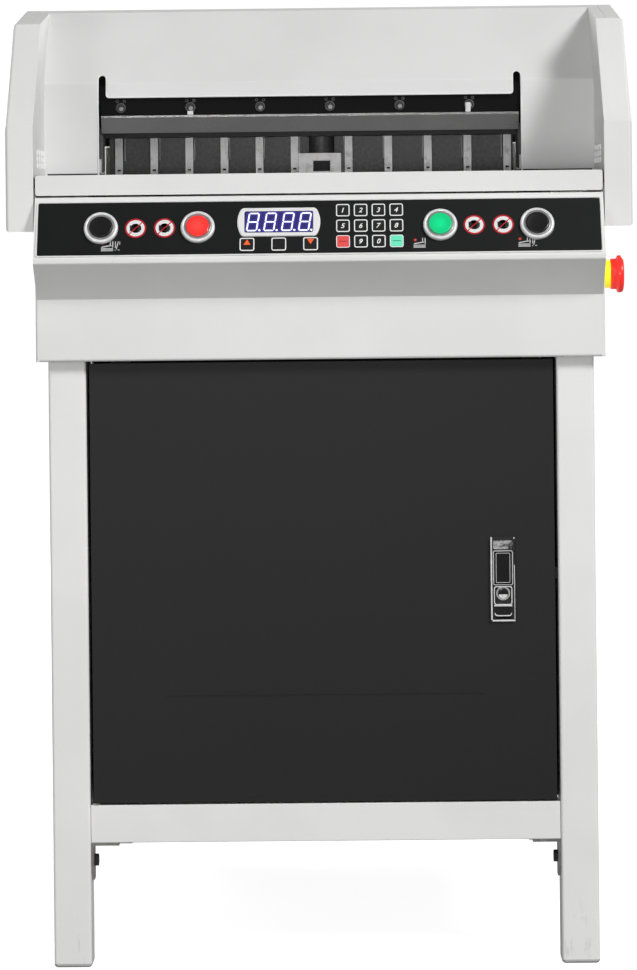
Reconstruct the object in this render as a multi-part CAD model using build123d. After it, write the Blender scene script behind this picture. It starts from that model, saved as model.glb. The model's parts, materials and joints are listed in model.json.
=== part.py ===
# Electric paper cutter on a cabinet stand, piece by piece, in millimetres.
# X runs to the right, Y away from the operator and Z up; the floor is at Z 0.
# Depths are written from the front faces of the side covers; one shift at the end centres them.

import os
from math import hypot

from build123d import *

# General values.
quarter_turn = 90
hex_sides = 6
half_share = 0.5
sheet = 1.5
cover_sheet = 2
slide_gap = 0.3
running_gap = 0.05
seat_gap = 0.1

# Stand.
stand_inset = 11.5
stand_front = 25
stand_rear = 755
leg_side = 40
leg_wall = 2
leg_round = 3
leg_top = 695
cap_height = 4
cap_plug = 14
cap_chamfer = 2
rail_depth = 25
rail_height = 40
rail_wall = 2
rail_set_back = 2
rail_end_gap = 0.5
lower_rail_bottom = 132
rail_drop = 10
bracket_thick = 3
bracket_drop = 41
bracket_tab = 30
bracket_taper = 10
bolt_radius = 4
bolt_head_radius = 6.5
bolt_head_height = 4.5
bolt_drop = 20
panel_inset = 6.5
shelf_lip = 20
shelf_front = 45

# Door and its latch.
door_gap = 3.5
door_floor_gap = 2
door_top_gap = 3
door_flange = 16
door_hem = 6
door_hem_width = 6.5
door_line_depth = 0.6
door_line_width = 2
door_line_rise = 112
door_line_inset = 78
door_corner_round = 2
pin_inset = 6
pin_back = 6
pin_radius = 2
barrel_radius = 3.5
barrel_length = 12
pin_collar_radius = 4.5
latch_inset = 55.5
latch_rise = 232
latch_width = 26
latch_height = 90
latch_proud = 3
latch_round = 3
latch_window_width = 17
latch_tab_height = 9.5
latch_tab_margin = 4.5
latch_lever_bottom = 3
latch_lever_height = 36
latch_cup_wall = 2
latch_cup_depth = 17
lever_thick = 3
lever_tail = 4
lever_swing_gap = 1.5
lever_pin_radius = 1.5
lock_radius = 6
lock_height = 30
lock_depth = 7
lock_proud = 0.5
lever_round = 0.75
lock_slot_width = 1.2
lock_slot_depth = 1
bolt_bar_thick = 4
bolt_bar_height = 12
bolt_bar_back = 5
bolt_bar_tail = 30
bolt_bar_rise = 44
bolt_travel = 8

# Lower body of the cutter.
body_half = 301.5
console_inset = 1.7
base_plate_thick = 4
body_overhang = 11
wall_top_gap = 1
console_drop = 11.5
lip_reach = 32
console_height = 65
lip_height = 4.5
apron_front = 10
apron_rise = 16
apron_return = 10
console_return = 24
bend_radius = 1

# Control panel, measured down the slope from its upper edge.
panel_margin = 4.3
panel_drop = 7.4
panel_length = 60.6
panel_thick = 0.8
panel_round = 1.5
button_row = 30.3
button_outer_share = 0.774958
button_inner_share = 0.430795
bezel_radius = 18
bezel_height = 5
bezel_floor_radius = 12.8
bezel_chamfer = 1.2
button_radius = 12
button_proud = 1.2
button_chamfer = 0.8
button_travel = 3.5
tube_outer_radius = 11
stem_radius = 8
tube_length = 24
stem_collar_radius = 10
stem_collar_thick = 3
nut_radius = 15
nut_thick = 4
display_centre_share = -0.142809
display_row = 24.8
display_width = 87.4
display_height = 33
display_bulge = 3
display_proud = 2
display_depth = 8
window_width = 72
window_height = 24.5
window_round = 2
window_thick = 1.5
small_key_row = 50.3
small_key_share = 0.11269
small_key_width = 15.8
small_key_height = 15.4
key_first_share = 0.085279
key_pitch_share = 0.063384
key_columns = 4
key_first_row = 11.6
key_pitch_row = 18.25
key_rows = 3
key_width = 14.6
key_height = 14.7
key_corner = 1.8
key_thick = 0.5

# Emergency stop on the right wall.
stop_lead = 78
stop_rise = 36
stop_collar_radius = 15
stop_collar_length = 7
stop_cap_radius = 16.5
stop_cap_gap = 0.5
stop_cap_length = 13.5
stop_flange_radius = 20
stop_flange_length = 7
stop_flange_chamfer = 2
stop_cap_wall = 1.2
stop_cup_depth = 5.5
stop_stem_radius = 5
stop_stem_tail = 30
stop_shaft_bore = 8
stop_block_width = 34
stop_block_depth = 30
stop_travel = 4
stop_tail_collar_radius = 8
stop_tail_collar_thick = 3

# Table.
table_thick = 12
table_inset = 2
table_overhang = 24
trim_gap = 2
trim_round = 3
trim_return = 18
rib_height = 8
rib_width = 8
rib_inset = 60
rib_front = 350
post_side = 40
post_wall = 2.5
post_inset = 31.5
post_stop_gap = 44
post_rear_inset = 66
window_gap = 0.6
fence_thick = 10
fence_height = 36
fence_front = 345
fence_end_gap = 5

# Side frames and the throat, placed about the middle of the throat.
throat_centre = -10.4
throat_side = 69
throat_rise = 39
frame_side_gap = 7.5
frame_thick = 14
frame_set_back = 4
frame_tail = 98
frame_head = 17
frame_shoulder_rise = 5
frame_step = 44
guide_width = 8
guide_floor_gap = 3.5
guide_front_drop = 33
guide_top_drop = 3
guide_rear_thick = 11
beam_thick = 12
beam_set_back = 40
beam_depth = 46

# Side covers and hood.
cover_width = 29.5
cover_skirt = 47.5
cover_kink_rise = 51.5
cover_slope_depth = 100
ridge_drop = 23
ridge_set_back = 19
roof_head = 31
roof_overhang = 10
roof_fall = 46
roof_clearance = 67.5
cover_round = 4
seam_inset = 11.5
roof_seam_gap = 0.4
roof_front_depth = 104
hood_depth = 142
hood_bottom_gap = 0.5
hood_strip = 15.5
hood_slope = 71
slot_width = 9.5
slot_length = 25
throat_round = 3
throat_foot_round = 2.4
slit_columns = 4
slit_rows = 3
slit_inset = 12
slit_pitch_depth = 26
slit_rise = 6
slit_pitch_height = 6.5
slit_width = 4
slit_height = 4.2
lens_front = 44
lens_rise = 5.5
lens_height = 28
lens_thick = 12

# Knife.
knife_side_gap = 2.5
holder_thick = 6
blade_thick = 8
carrier_thick = 14
blade_bevel_height = 17
blade_show = 19
holder_height = 33
blade_drop = 4
carrier_rise = 7
carrier_head = 16
carrier_end_gap = 0.5
knife_travel = 47.2
bolt_left_margin = 22.4
bolt_right_margin = 54.6
bolt_count = 6
knife_bolt_rise = 8.5
knife_bolt_head_radius = 4.6
knife_bolt_head = 2.2
knife_bolt_hex = 2.2
knife_bolt_hex_depth = 1.4
knife_bolt_shank = 3
rod_radius = 5
rod_inset = 0.5
rod_hole_gap = 1
yoke_set_back = 5
yoke_depth = 20
yoke_floor_gap = 2.8
yoke_height = 25
spindle_radius = 8
spindle_tip = 20
spindle_top_gap = 15.5
stick_inset = 7.5
stick_set_back = 2
stick_depth = 12
stick_drop = 0.1

# Clamp.
clamp_side_gap = 1.5
clamp_knife_gap = 2
clamp_depth = 46
clamp_stop_gap = 0.4
clamp_height = 64.5
clamp_tongue_inset = 10
clamp_tongue_depth = 20
clamp_pocket_wall = 9
clamp_pocket_end = 35
clamp_pocket_depth = 30
clamp_boss_half = 26
clamp_spindle_radius = 7
clamp_spindle_inset = 28
clamp_spindle_rise = 5.5
clamp_spindle_collar = 11
clamp_spindle_collar_thick = 4
clamp_bore_rise = 3.5
clamp_travel = 42.6

# Back gauge.
gauge_clamp_gap = 6
gauge_thick = 12
gauge_lift = 0.4
gauge_height = 57.5
gauge_side_gap = 4.5
finger_width = 9
finger_slot_rise = 6.3
finger_slot_width = 3.6
finger_slot_height = 1.8
finger_slot_depth = 8
comb_plate_thick = 6
comb_first_gap = 4.3
comb_left_margin = 12.3
comb_left_count = 6
comb_right_margin = 7.6
comb_right_count = 5
finger_chamfer = 0.5
gauge_centre_x = 1.7
gauge_block_half = 26
gauge_block_proud = 6
gauge_block_depth = 45.5
gauge_block_height = 24.5
gauge_pocket_half = 10.1
gauge_pocket_rise = 3.5
gauge_pocket_height = 13
gauge_pocket_depth = 12
gauge_post_radius = 14
gauge_post_set_back = 24
gauge_post_head = 5
gauge_bar_depth = 24
gauge_bar_height = 17.5
stem_half = 8
stem_set_back = 14
stem_depth = 16
slot_half = 9
slot_rear_share = 0.85
screw_drop = 42.5
screw_radius = 8
carriage_half = 150
carriage_set_back = 12
carriage_depth = 30
carriage_half_height = 12
gauge_rail_radius = 8
gauge_rail_x = 132
gauge_tail = 122
block_lead = 16
block_thick = 12
block_foot = 14
rear_stop_gap = 2
screw_tail = 10

# Drives, controls and mains entry.
gearbox_left = -70
gearbox_right = 50
gearbox_high_depth = 85
gearbox_step_gap = 12
gearbox_tail = 27
gearbox_low_rise = 25
gearbox_high_height = 68
knife_motor_radius = 40
motor_inset = 3.6
motor_foot_half = 20
motor_foot_width = 60
clamp_box_half = 30
clamp_box_inset = 20
clamp_box_tail = 62
clamp_box_height = 40
clamp_box_gap = 10
clamp_motor_radius = 19
clamp_motor_inset = 23
clamp_motor_rise = 20
clamp_motor_length = 90
gauge_motor_half = 28
gauge_motor_length = 54
control_inset = 61.5
control_width = 140
control_front = 185
control_rear = 330
control_height = 50
control_round = 3
inlet_inset = 101.5
inlet_rise = 45
inlet_width = 48
inlet_tall = 28
inlet_depth = 26
inlet_proud = 3
inlet_pocket_width = 20
inlet_pocket_tall = 14
inlet_shift = 10
rocker_width = 9
rocker_tall = 17
rocker_shift = 15
rocker_depth = 8
rocker_proud = 1.6
rocker_tilt = 10

# Places that follow from the sizes above.
stand_half = body_half - stand_inset
latch_centre_x = stand_half - leg_side - door_gap - latch_inset
console_half = body_half - console_inset
panel_half = console_half - panel_margin
button_outer_x = panel_half * button_outer_share
button_inner_x = panel_half * button_inner_share
display_centre_x = panel_half * display_centre_share
small_key_pitch = panel_half * small_key_share
key_first_x = panel_half * key_first_share
key_pitch_x = panel_half * key_pitch_share
table_half = body_half - table_inset
post_x = body_half - post_inset
rib_x = post_x - rib_inset
cover_outer = body_half + cover_width
roof_seam_x = body_half + seam_inset
throat_half = body_half - throat_side
frame_half = throat_half + frame_side_gap
knife_half = throat_half - knife_side_gap
bolt_first_x = throat_centre - knife_half + bolt_left_margin
bolt_last_x = throat_centre + knife_half - bolt_right_margin
bolt_pitch_x = (bolt_last_x - bolt_first_x) / (bolt_count - 1)
rod_x = throat_half - rod_inset
stick_half = throat_half - stick_inset
clamp_half = throat_half - clamp_side_gap
clamp_pocket_half = clamp_half - clamp_pocket_end
gauge_left_half = throat_half - gauge_side_gap
comb_left_first = gauge_centre_x - gauge_block_half - comb_first_gap
comb_left_last = throat_centre - gauge_left_half + comb_left_margin
comb_left_pitch = (comb_left_last - comb_left_first) / (comb_left_count - 1)
comb_right_first = gauge_centre_x + gauge_block_half + comb_first_gap
comb_right_last = throat_centre + gauge_left_half - comb_right_margin
comb_right_pitch = (comb_right_last - comb_right_first) / (comb_right_count - 1)
knife_motor_right = throat_centre + frame_half - motor_inset
control_left = control_inset - body_half
control_right = control_left + control_width
inlet_x = body_half - inlet_inset
upper_rail_bottom = leg_top - rail_height - rail_drop
latch_bottom = lower_rail_bottom + latch_rise
apron_bottom = upper_rail_bottom
apron_top = leg_top + apron_rise
stop_height = leg_top + stop_rise
inlet_height = leg_top + inlet_rise
gearbox_low_top = leg_top + gearbox_low_rise
gearbox_high_top = gearbox_low_top + gearbox_high_height
yoke_bottom = gearbox_low_top + knife_travel + yoke_floor_gap
yoke_top = yoke_bottom + yoke_height
spindle_top = yoke_top + spindle_tip
table_low = spindle_top + spindle_top_gap
table_top = table_low + table_thick
body_wall_top = table_low - wall_top_gap
console_top = table_low - console_drop
lip_top = console_top - console_height
lip_bottom = lip_top - lip_height
trim_bottom = console_top + trim_gap
cover_bottom = table_low - cover_skirt
cover_kink = table_top + cover_kink_rise
blade_edge = table_top + slide_gap + knife_travel
blade_bevel_top = blade_edge + blade_bevel_height
holder_bottom = blade_edge + blade_show
holder_top = holder_bottom + holder_height
knife_bolt_height = holder_bottom + knife_bolt_rise
blade_top = holder_top - blade_drop
carrier_bottom = blade_edge + carrier_rise
carrier_top = holder_top + carrier_head
guide_low = table_top + guide_floor_gap
guide_top = carrier_top - guide_top_drop
guide_front_top = carrier_top - guide_front_drop
frame_shoulder = guide_front_top + frame_shoulder_rise
frame_top = carrier_top + frame_head
throat_top = blade_edge + throat_rise
hood_bend = throat_top + hood_strip
slot_top = throat_top + slot_length
clamp_bottom = table_top + clamp_stop_gap + clamp_travel
clamp_top = clamp_bottom + clamp_height
clamp_spindle_low = clamp_bottom + clamp_spindle_rise
clamp_bore_low = clamp_bottom + clamp_bore_rise
clamp_box_low = clamp_top + clamp_box_gap
clamp_box_top = clamp_box_low + clamp_box_height
clamp_motor_height = clamp_box_low + clamp_motor_rise
roof_ridge = clamp_box_top + roof_head
cover_slope_top = roof_ridge - ridge_drop
roof_rear_top = roof_ridge - roof_fall
roof_rear_bottom = table_top + roof_clearance
lens_bottom = table_top + lens_rise
lens_top = lens_bottom + lens_height
slit_first_height = lens_bottom + slit_rise
gauge_top = table_top + gauge_height
gauge_block_top = table_top + gauge_block_height
gauge_pocket_low = table_top + gauge_pocket_rise
gauge_pocket_top = gauge_pocket_low + gauge_pocket_height
gauge_post_top = gauge_top + gauge_post_head
gauge_bar_top = table_top + gauge_bar_height
finger_slot_low = table_top + finger_slot_rise
screw_height = table_top - screw_drop
carriage_low = screw_height - carriage_half_height
carriage_top = screw_height + carriage_half_height
block_low = screw_height - block_foot
body_rear = stand_rear + body_overhang
table_rear = body_rear + table_overhang
post_rear_depth = body_rear - post_rear_inset
frame_front = hood_depth + frame_set_back
stop_depth = frame_front - stop_lead
post_front_depth = stop_depth + post_stop_gap
lens_rear = frame_front
slit_first_depth = lens_front + slit_inset
hood_top_depth = hood_depth + hood_slope
frame_shoulder_depth = frame_front + frame_step
beam_front = frame_front + beam_set_back
beam_rear = beam_front + beam_depth
knife_front = frame_front
blade_front = knife_front + holder_thick
blade_back = blade_front + blade_thick
knife_back = blade_back + carrier_thick
stick_front = blade_front + stick_set_back
stick_rear = stick_front + stick_depth
yoke_front = blade_front + yoke_set_back
yoke_rear = yoke_front + yoke_depth
gearbox_step = yoke_front - gearbox_step_gap
gearbox_front = gearbox_step - gearbox_high_depth
gearbox_rear = yoke_rear + gearbox_tail
clamp_front = knife_back + clamp_knife_gap
clamp_rear = clamp_front + clamp_depth
clamp_tongue_front = clamp_front + clamp_tongue_inset
clamp_tongue_rear = clamp_tongue_front + clamp_tongue_depth
clamp_spindle_depth = clamp_front + clamp_spindle_inset
clamp_box_front = clamp_front + clamp_box_inset
clamp_box_rear = clamp_rear + clamp_box_tail
clamp_motor_depth = clamp_box_rear - clamp_motor_inset
roof_ridge_depth = clamp_rear + ridge_set_back
frame_rear = clamp_rear + frame_tail
roof_rear_depth = frame_rear + roof_overhang
gauge_front = clamp_rear + gauge_clamp_gap
gauge_block_front = gauge_front - gauge_block_proud
gauge_block_rear = gauge_block_front + gauge_block_depth
gauge_post_depth = gauge_front + gauge_post_set_back
gauge_bar_rear = gauge_front + gauge_bar_depth
stem_front = gauge_front + stem_set_back
stem_rear = stem_front + stem_depth
carriage_front = gauge_front + carriage_set_back
carriage_rear = carriage_front + carriage_depth
block_front = carriage_front - block_lead
gauge_travel = table_rear - gauge_tail - carriage_rear
rear_block_front = carriage_rear + gauge_travel + rear_stop_gap

# Every depth is shifted so that the middle of the whole machine is at Y 0.
middle_depth = (table_rear - lip_reach) * half_share
low_corner = (Align.MIN, Align.MIN, Align.MIN)
standing = (Align.CENTER, Align.CENTER, Align.MIN)


def block(left, right, front, rear, bottom, top):
    size = Box(right - left, rear - front, top - bottom, align=low_corner)
    return Pos(left, front, bottom) * size


def rod_along_x(depth, height, radius, left, right):
    lying = Rot(0, quarter_turn, 0) * Cylinder(radius, right - left, align=standing)
    return Pos(left, depth, height) * lying


def rod_along_y(across, height, radius, front, rear):
    lying = Rot(-quarter_turn, 0, 0) * Cylinder(radius, rear - front, align=standing)
    return Pos(across, front, height) * lying


def rod_upright(across, depth, radius, bottom, top):
    return Pos(across, depth, bottom) * Cylinder(radius, top - bottom, align=standing)


def side_profile(points, left, right):
    edge = Polyline(*[(left, depth, height) for depth, height in points], close=True)
    return extrude(make_face(edge), amount=right - left, dir=(1, 0, 0))


def edges_at(solid, axis, points, slack=seat_gap):
    # Edges along the axis that pass through the points of the profile.
    found = []
    for edge in solid.edges().filter_by(axis):
        centre = edge.center()
        place = (centre.Y, centre.Z) if axis == Axis.X else (centre.X, centre.Z)
        if any(hypot(place[0] - a, place[1] - b) < slack for a, b in points):
            found.append(edge)
    return found


def unit_normal(start, end):
    along = (end[0] - start[0], end[1] - start[1])
    length = hypot(*along)
    return (-along[1] / length, along[0] / length)


def beside(path, thickness, closed=False):
    # The path moved sideways by the thickness, with mitred corners.
    count = len(path)
    moved = []
    for index, point in enumerate(path):
        normals = []
        if closed or index > 0:
            normals.append(unit_normal(path[index - 1], point))
        if closed or index < count - 1:
            normals.append(unit_normal(point, path[(index + 1) % count]))
        total = [sum(normal[axis] for normal in normals) for axis in (0, 1)]
        spread = total[0] * normals[0][0] + total[1] * normals[0][1]
        moved.append((point[0] + total[0] * thickness / spread, point[1] + total[1] * thickness / spread))
    return moved


def folded(path, thickness, left, right):
    # Sheet bent along the path, its bends rounded inside and outside.
    inner = beside(path, thickness)
    solid = side_profile(path + inner[::-1], left, right)
    tight, wide = [], []
    for index in range(1, len(path) - 1):
        before = unit_normal(path[index - 1], path[index])
        after = unit_normal(path[index], path[index + 1])
        turn = before[0] * after[1] - before[1] * after[0]
        tight.append(inner[index] if turn > 0 else path[index])
        wide.append(path[index] if turn > 0 else inner[index])
    solid = fillet(edges_at(solid, Axis.X, tight), bend_radius)
    return fillet(edges_at(solid, Axis.X, wide), bend_radius + thickness)


def upright_edges(solid):
    return solid.edges().filter_by(Axis.Z)


pieces = {}


def keep(name, *solids):
    flat = [part for solid in solids for part in solid.solids()]
    placed = [part.moved(Location((0, -middle_depth, 0))) for part in flat]
    pieces[name] = placed[0] if len(placed) == 1 else Compound(children=placed)


# Square tube legs with plastic caps.
inner_half = stand_half - leg_side
rear_leg_front = stand_rear - leg_side
leg_corners = [(side, front) for side in (-1, 1) for front in (stand_front, rear_leg_front)]
bolt_height = latch_bottom + bolt_bar_rise
bolt_front = stand_front + rail_set_back + sheet + bolt_bar_back
legs = []
caps = []
for side, front in leg_corners:
    left = -stand_half if side < 0 else inner_half
    tube = block(left, left + leg_side, front, front + leg_side, cap_height, leg_top)
    tube = fillet(upright_edges(tube), leg_round)
    hollow = block(left + leg_wall, left + leg_side - leg_wall, front + leg_wall,
                   front + leg_side - leg_wall, cap_height, leg_top)
    tube = tube - fillet(upright_edges(hollow), leg_round - leg_wall)
    if side > 0 and front == stand_front:
        tube = tube - block(left - leg_wall, left + leg_wall + slide_gap, bolt_front - slide_gap,
                            bolt_front + bolt_bar_thick + slide_gap, bolt_height - slide_gap,
                            bolt_height + bolt_bar_height + slide_gap)
    legs.append(tube)
    foot = block(left, left + leg_side, front, front + leg_side, 0, cap_height)
    foot = chamfer(upright_edges(foot), leg_round)
    foot = chamfer(foot.faces().sort_by(Axis.Z)[0].edges(), cap_chamfer)
    plug_in = leg_wall + seat_gap
    plug = block(left + plug_in, left + leg_side - plug_in, front + plug_in,
                 front + leg_side - plug_in, cap_height, cap_height + cap_plug)
    caps.append(foot + chamfer(upright_edges(plug), leg_round - leg_wall))
keep("legs", *legs)
keep("leg_caps", *caps)


# Rails between the legs.
def tube_across(front, bottom, height):
    ends = inner_half - rail_end_gap
    body = block(-ends, ends, front, front + rail_depth, bottom, bottom + height)
    body = fillet(body.edges().filter_by(Axis.X), leg_round - leg_wall)
    return body - block(-ends, ends, front + rail_wall, front + rail_depth - rail_wall,
                        bottom + rail_wall, bottom + height - rail_wall)


def tube_along(side, bottom, height):
    outer = stand_half - rail_set_back
    inner = outer - rail_depth
    left = min(side * outer, side * inner)
    front = stand_front + leg_side
    body = block(left, left + rail_depth, front, rear_leg_front, bottom, bottom + height)
    return body - block(left + rail_wall, left + rail_depth - rail_wall, front, rear_leg_front,
                        bottom + rail_wall, bottom + height - rail_wall)


rail_front = stand_front + rail_set_back
rear_rail_front = stand_rear - rail_set_back - rail_depth
lower_rail_top = lower_rail_bottom + rail_height
upper_height = leg_top - upper_rail_bottom
rails = []
for low, height in ((lower_rail_bottom, rail_height), (upper_rail_bottom, upper_height)):
    rails += [tube_across(rail_front, low, height), tube_across(rear_rail_front, low, height)]
    rails += [tube_along(-1, low, height), tube_along(1, low, height)]
keep("stand_rails", *rails)

# Angle brackets under the cross rails, each with one bolt into the leg.
brackets = []
bolts = []
for side in (-1, 1):
    for front in (rail_front, rear_rail_front):
        wall_x = side * inner_half
        plate_x = wall_x - side * bracket_thick
        tab_x = wall_x - side * bracket_tab
        low = lower_rail_bottom - bracket_drop
        rear = front + rail_depth
        points = [(front, lower_rail_bottom), (front, low + bracket_taper),
                  (front + bracket_taper, low), (rear, low), (rear, lower_rail_bottom)]
        plate = side_profile(points, min(wall_x, plate_x), max(wall_x, plate_x))
        tab = block(min(wall_x, tab_x), max(wall_x, tab_x), front, rear,
                    lower_rail_bottom - bracket_thick, lower_rail_bottom)
        bolt_z = lower_rail_bottom - bolt_drop
        bolt_y = front + rail_depth * half_share
        head_x = plate_x - side * bolt_head_height
        tip_x = wall_x + side * (leg_wall + bolt_head_height)
        hole = rod_along_x(bolt_y, bolt_z, bolt_radius, min(plate_x, tip_x), max(plate_x, tip_x))
        brackets.append(plate + tab - hole)
        head = Rot(0, quarter_turn, 0) * extrude(RegularPolygon(bolt_head_radius, hex_sides), bolt_head_height)
        head = Pos(min(head_x, plate_x), bolt_y, bolt_z) * head
        shank = rod_along_x(bolt_y, bolt_z, bolt_radius - running_gap, min(plate_x, wall_x),
                            max(plate_x, wall_x))
        bolts.append(head + shank)
keep("rail_brackets", *brackets)
keep("bracket_bolts", *bolts)

# Cabinet walls and floor, folded from sheet.
wall_outer = stand_half - panel_inset
wall_front = stand_front + leg_side
walls = []
for side in (-1, 1):
    left = min(side * wall_outer, side * (wall_outer - sheet))
    wall = block(left, left + sheet, wall_front, rear_leg_front, lower_rail_top, upper_rail_bottom)
    lip_left = min(side * wall_outer, side * (wall_outer - shelf_lip * half_share))
    for lip_front in (wall_front, rear_leg_front - sheet):
        wall = wall + block(lip_left, lip_left + shelf_lip * half_share, lip_front, lip_front + sheet,
                            lower_rail_top, upper_rail_bottom)
    walls.append(wall)
keep("cabinet_sides", *walls)
back_front = stand_rear - panel_inset - sheet
keep("cabinet_back", block(-inner_half, inner_half, back_front, back_front + sheet,
                           lower_rail_top, upper_rail_bottom))
floor_half = wall_outer - sheet - slide_gap
floor_rear = back_front - slide_gap
floor_plate = block(-floor_half, floor_half, shelf_front, floor_rear, lower_rail_top,
                    lower_rail_top + sheet)
floor_fold = block(-inner_half + shelf_lip, inner_half - shelf_lip, rail_front + rail_depth,
                   rail_front + rail_depth + sheet, lower_rail_top - shelf_lip, lower_rail_top)
notch = leg_side + slide_gap + shelf_lip * half_share + sheet
for side, front in leg_corners:
    left = -stand_half if side < 0 else stand_half - notch
    near = front - slide_gap if front > stand_front else front
    far = front + leg_side + slide_gap + (sheet if front == stand_front else 0)
    near = near - (sheet if front > stand_front else 0)
    floor_plate = floor_plate - block(left, left + notch, near, far, lower_rail_top,
                                      lower_rail_top + sheet)
keep("cabinet_floor", floor_plate + floor_fold)

# Door: a shallow tray with a narrow hem on the hinge side and two pivot barrels.
door_half = inner_half - door_gap
door_front = rail_front
door_back = door_front + sheet
door_bottom = lower_rail_top + door_floor_gap
door_top = upper_rail_bottom - door_top_gap
pin_x = -inner_half + pin_inset
pin_y = stand_front + pin_back
door = block(-door_half, door_half, door_front, door_back, door_bottom, door_top)
door = fillet(door.edges().filter_by(Axis.Y), door_corner_round)
flange_left = -door_half + door_hem_width
for low in (door_bottom, door_top - sheet):
    door = door + block(flange_left, door_half, door_front, door_front + door_flange, low, low + sheet)
door = door + block(door_half - sheet, door_half, door_front, door_front + door_flange,
                    door_bottom, door_top)
door = door + block(-door_half, -door_half + sheet, door_front, door_front + door_hem,
                    door_bottom + barrel_length, door_top - barrel_length)
for low in (door_bottom, door_top - barrel_length):
    door = door + rod_upright(pin_x, pin_y, barrel_radius, low, low + barrel_length)
door = door - rod_upright(pin_x, pin_y, pin_radius + running_gap, door_bottom, door_bottom + barrel_length)
door = door - rod_upright(pin_x, pin_y, pin_radius + running_gap, door_top - barrel_length, door_top)
line_z = door_bottom + door_line_rise
line_end = door_half - door_line_inset
door = door - block(-line_end, line_end, door_front, door_front + door_line_depth, line_z,
                    line_z + door_line_width)
latch_left = latch_centre_x - latch_width * half_share
cup_left = latch_left + latch_cup_wall
cup_right = latch_left + latch_width - latch_cup_wall
latch_top = latch_bottom + latch_height
door = door - block(cup_left, cup_right, door_front, door_back, latch_bottom + latch_cup_wall,
                    latch_top - latch_cup_wall)
door = door - block(door_half - sheet, door_half, bolt_front - slide_gap,
                    bolt_front + bolt_bar_thick + slide_gap, bolt_height - slide_gap,
                    bolt_height + bolt_bar_height + slide_gap)
keep("door_panel", door)

# Pivot pins of the door, one on the lower rail and one under the upper rail.
lower_pin = rod_upright(pin_x, pin_y, pin_radius, lower_rail_top, door_bottom + barrel_length)
lower_pin = lower_pin + rod_upright(pin_x, pin_y, pin_collar_radius, lower_rail_top,
                                    door_bottom - seat_gap)
upper_pin = rod_upright(pin_x, pin_y, pin_radius, door_top - barrel_length, upper_rail_bottom)
keep("door_pins", lower_pin, upper_pin)

# Latch: a plate with a cup behind it, a pull lever with the lock, and a bolt.
latch_front = door_front - latch_proud
plate = block(latch_left, latch_left + latch_width, latch_front, door_front, latch_bottom, latch_top)
plate = fillet(plate.edges().filter_by(Axis.Y), latch_round)
plate = chamfer(plate.faces().sort_by(Axis.Y)[0].edges(), bend_radius)
cup_back = door_front + latch_cup_depth
cup = block(cup_left, cup_right, door_front, cup_back, latch_bottom + latch_cup_wall,
            latch_top - latch_cup_wall)
window_left = latch_centre_x - latch_window_width * half_share
window_right = latch_centre_x + latch_window_width * half_share
lever_low = latch_bottom + latch_lever_bottom
window_top = latch_top - latch_tab_height - latch_tab_margin
cavity = block(window_left, window_right, latch_front, cup_back - latch_cup_wall, lever_low, window_top)
tab_groove = block(window_left, window_right, latch_front, latch_front + bend_radius,
                   latch_top - latch_tab_margin - sheet, latch_top - latch_tab_margin)
bolt_way = block(cup_left, cup_right, bolt_front - slide_gap, bolt_front + bolt_bar_thick + slide_gap,
                 bolt_height - slide_gap, bolt_height + bolt_bar_height + slide_gap)
keep("latch_frame", plate + cup - cavity - tab_groove - bolt_way)

lever_left = window_left + slide_gap
lever_right = window_right - slide_gap
lever_top = lever_low + latch_lever_height
lever_front = latch_front - bend_radius
lever_pivot_z = lever_low + lever_tail
lever_pivot_y = lever_front + lever_thick
lever = block(lever_left, lever_right, lever_front, lever_front + lever_thick, lever_low + lever_swing_gap,
              lever_top)
lever = fillet(lever.edges().filter_by(Axis.X), lever_round)
lock_z = latch_bottom + lock_height
lock_housing = rod_along_y(latch_centre_x, lock_z, lock_radius + sheet, lever_front + sheet,
                           lever_front + lock_depth + sheet)
lever = lever + lock_housing
lever = lever - rod_along_y(latch_centre_x, lock_z, lock_radius + running_gap, lever_front,
                            lever_front + lock_depth)
pivot = rod_along_x(lever_pivot_y, lever_pivot_z, lever_pin_radius, window_left, window_right)
keep("latch_lever", lever + pivot)

cylinder = rod_along_y(latch_centre_x, lock_z, lock_radius, lever_front - lock_proud,
                       lever_front + lock_depth)
key_slot = block(latch_centre_x - lock_slot_width * half_share,
                 latch_centre_x + lock_slot_width * half_share, lever_front - lock_proud,
                 lever_front + lock_slot_depth, lock_z - lock_radius * half_share,
                 lock_z + lock_radius * half_share)
keep("lock_cylinder", cylinder - key_slot)

bolt_right = door_half + bolt_travel
bolt_bar = block(cup_right - bolt_bar_tail, bolt_right, bolt_front, bolt_front + bolt_bar_thick,
                 bolt_height, bolt_height + bolt_bar_height)
tip_edge = bolt_bar.faces().sort_by(Axis.X)[-1].edges().filter_by(Axis.Z).sort_by(Axis.Y)[0]
bolt_bar = chamfer(tip_edge, sheet)
keep("latch_bolt", bolt_bar)


# Lower body: base plate, wrap-round wall and the folded front cover.
wall_inner = body_half - sheet
apron_back = apron_front + cover_sheet
wall_back = body_rear - sheet
keep("base_plate", block(-wall_inner, wall_inner, apron_back, wall_back, leg_top,
                         leg_top + base_plate_thick))
wrap = block(-body_half, body_half, apron_back, body_rear, apron_bottom, body_wall_top)
wrap = wrap - block(-wall_inner, wall_inner, apron_back, wall_back, apron_bottom, body_wall_top)
wrap = wrap - rod_along_x(stop_depth, stop_height, stop_stem_radius + sheet, wall_inner, body_half)
inlet_left = inlet_x - inlet_width * half_share
inlet_right = inlet_x + inlet_width * half_share
inlet_low = inlet_height - inlet_tall * half_share
inlet_high = inlet_height + inlet_tall * half_share
wrap = wrap - block(inlet_left + cover_sheet, inlet_right - cover_sheet, wall_back, body_rear,
                    inlet_low + cover_sheet, inlet_high - cover_sheet)
keep("body_wrap", wrap)

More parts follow.
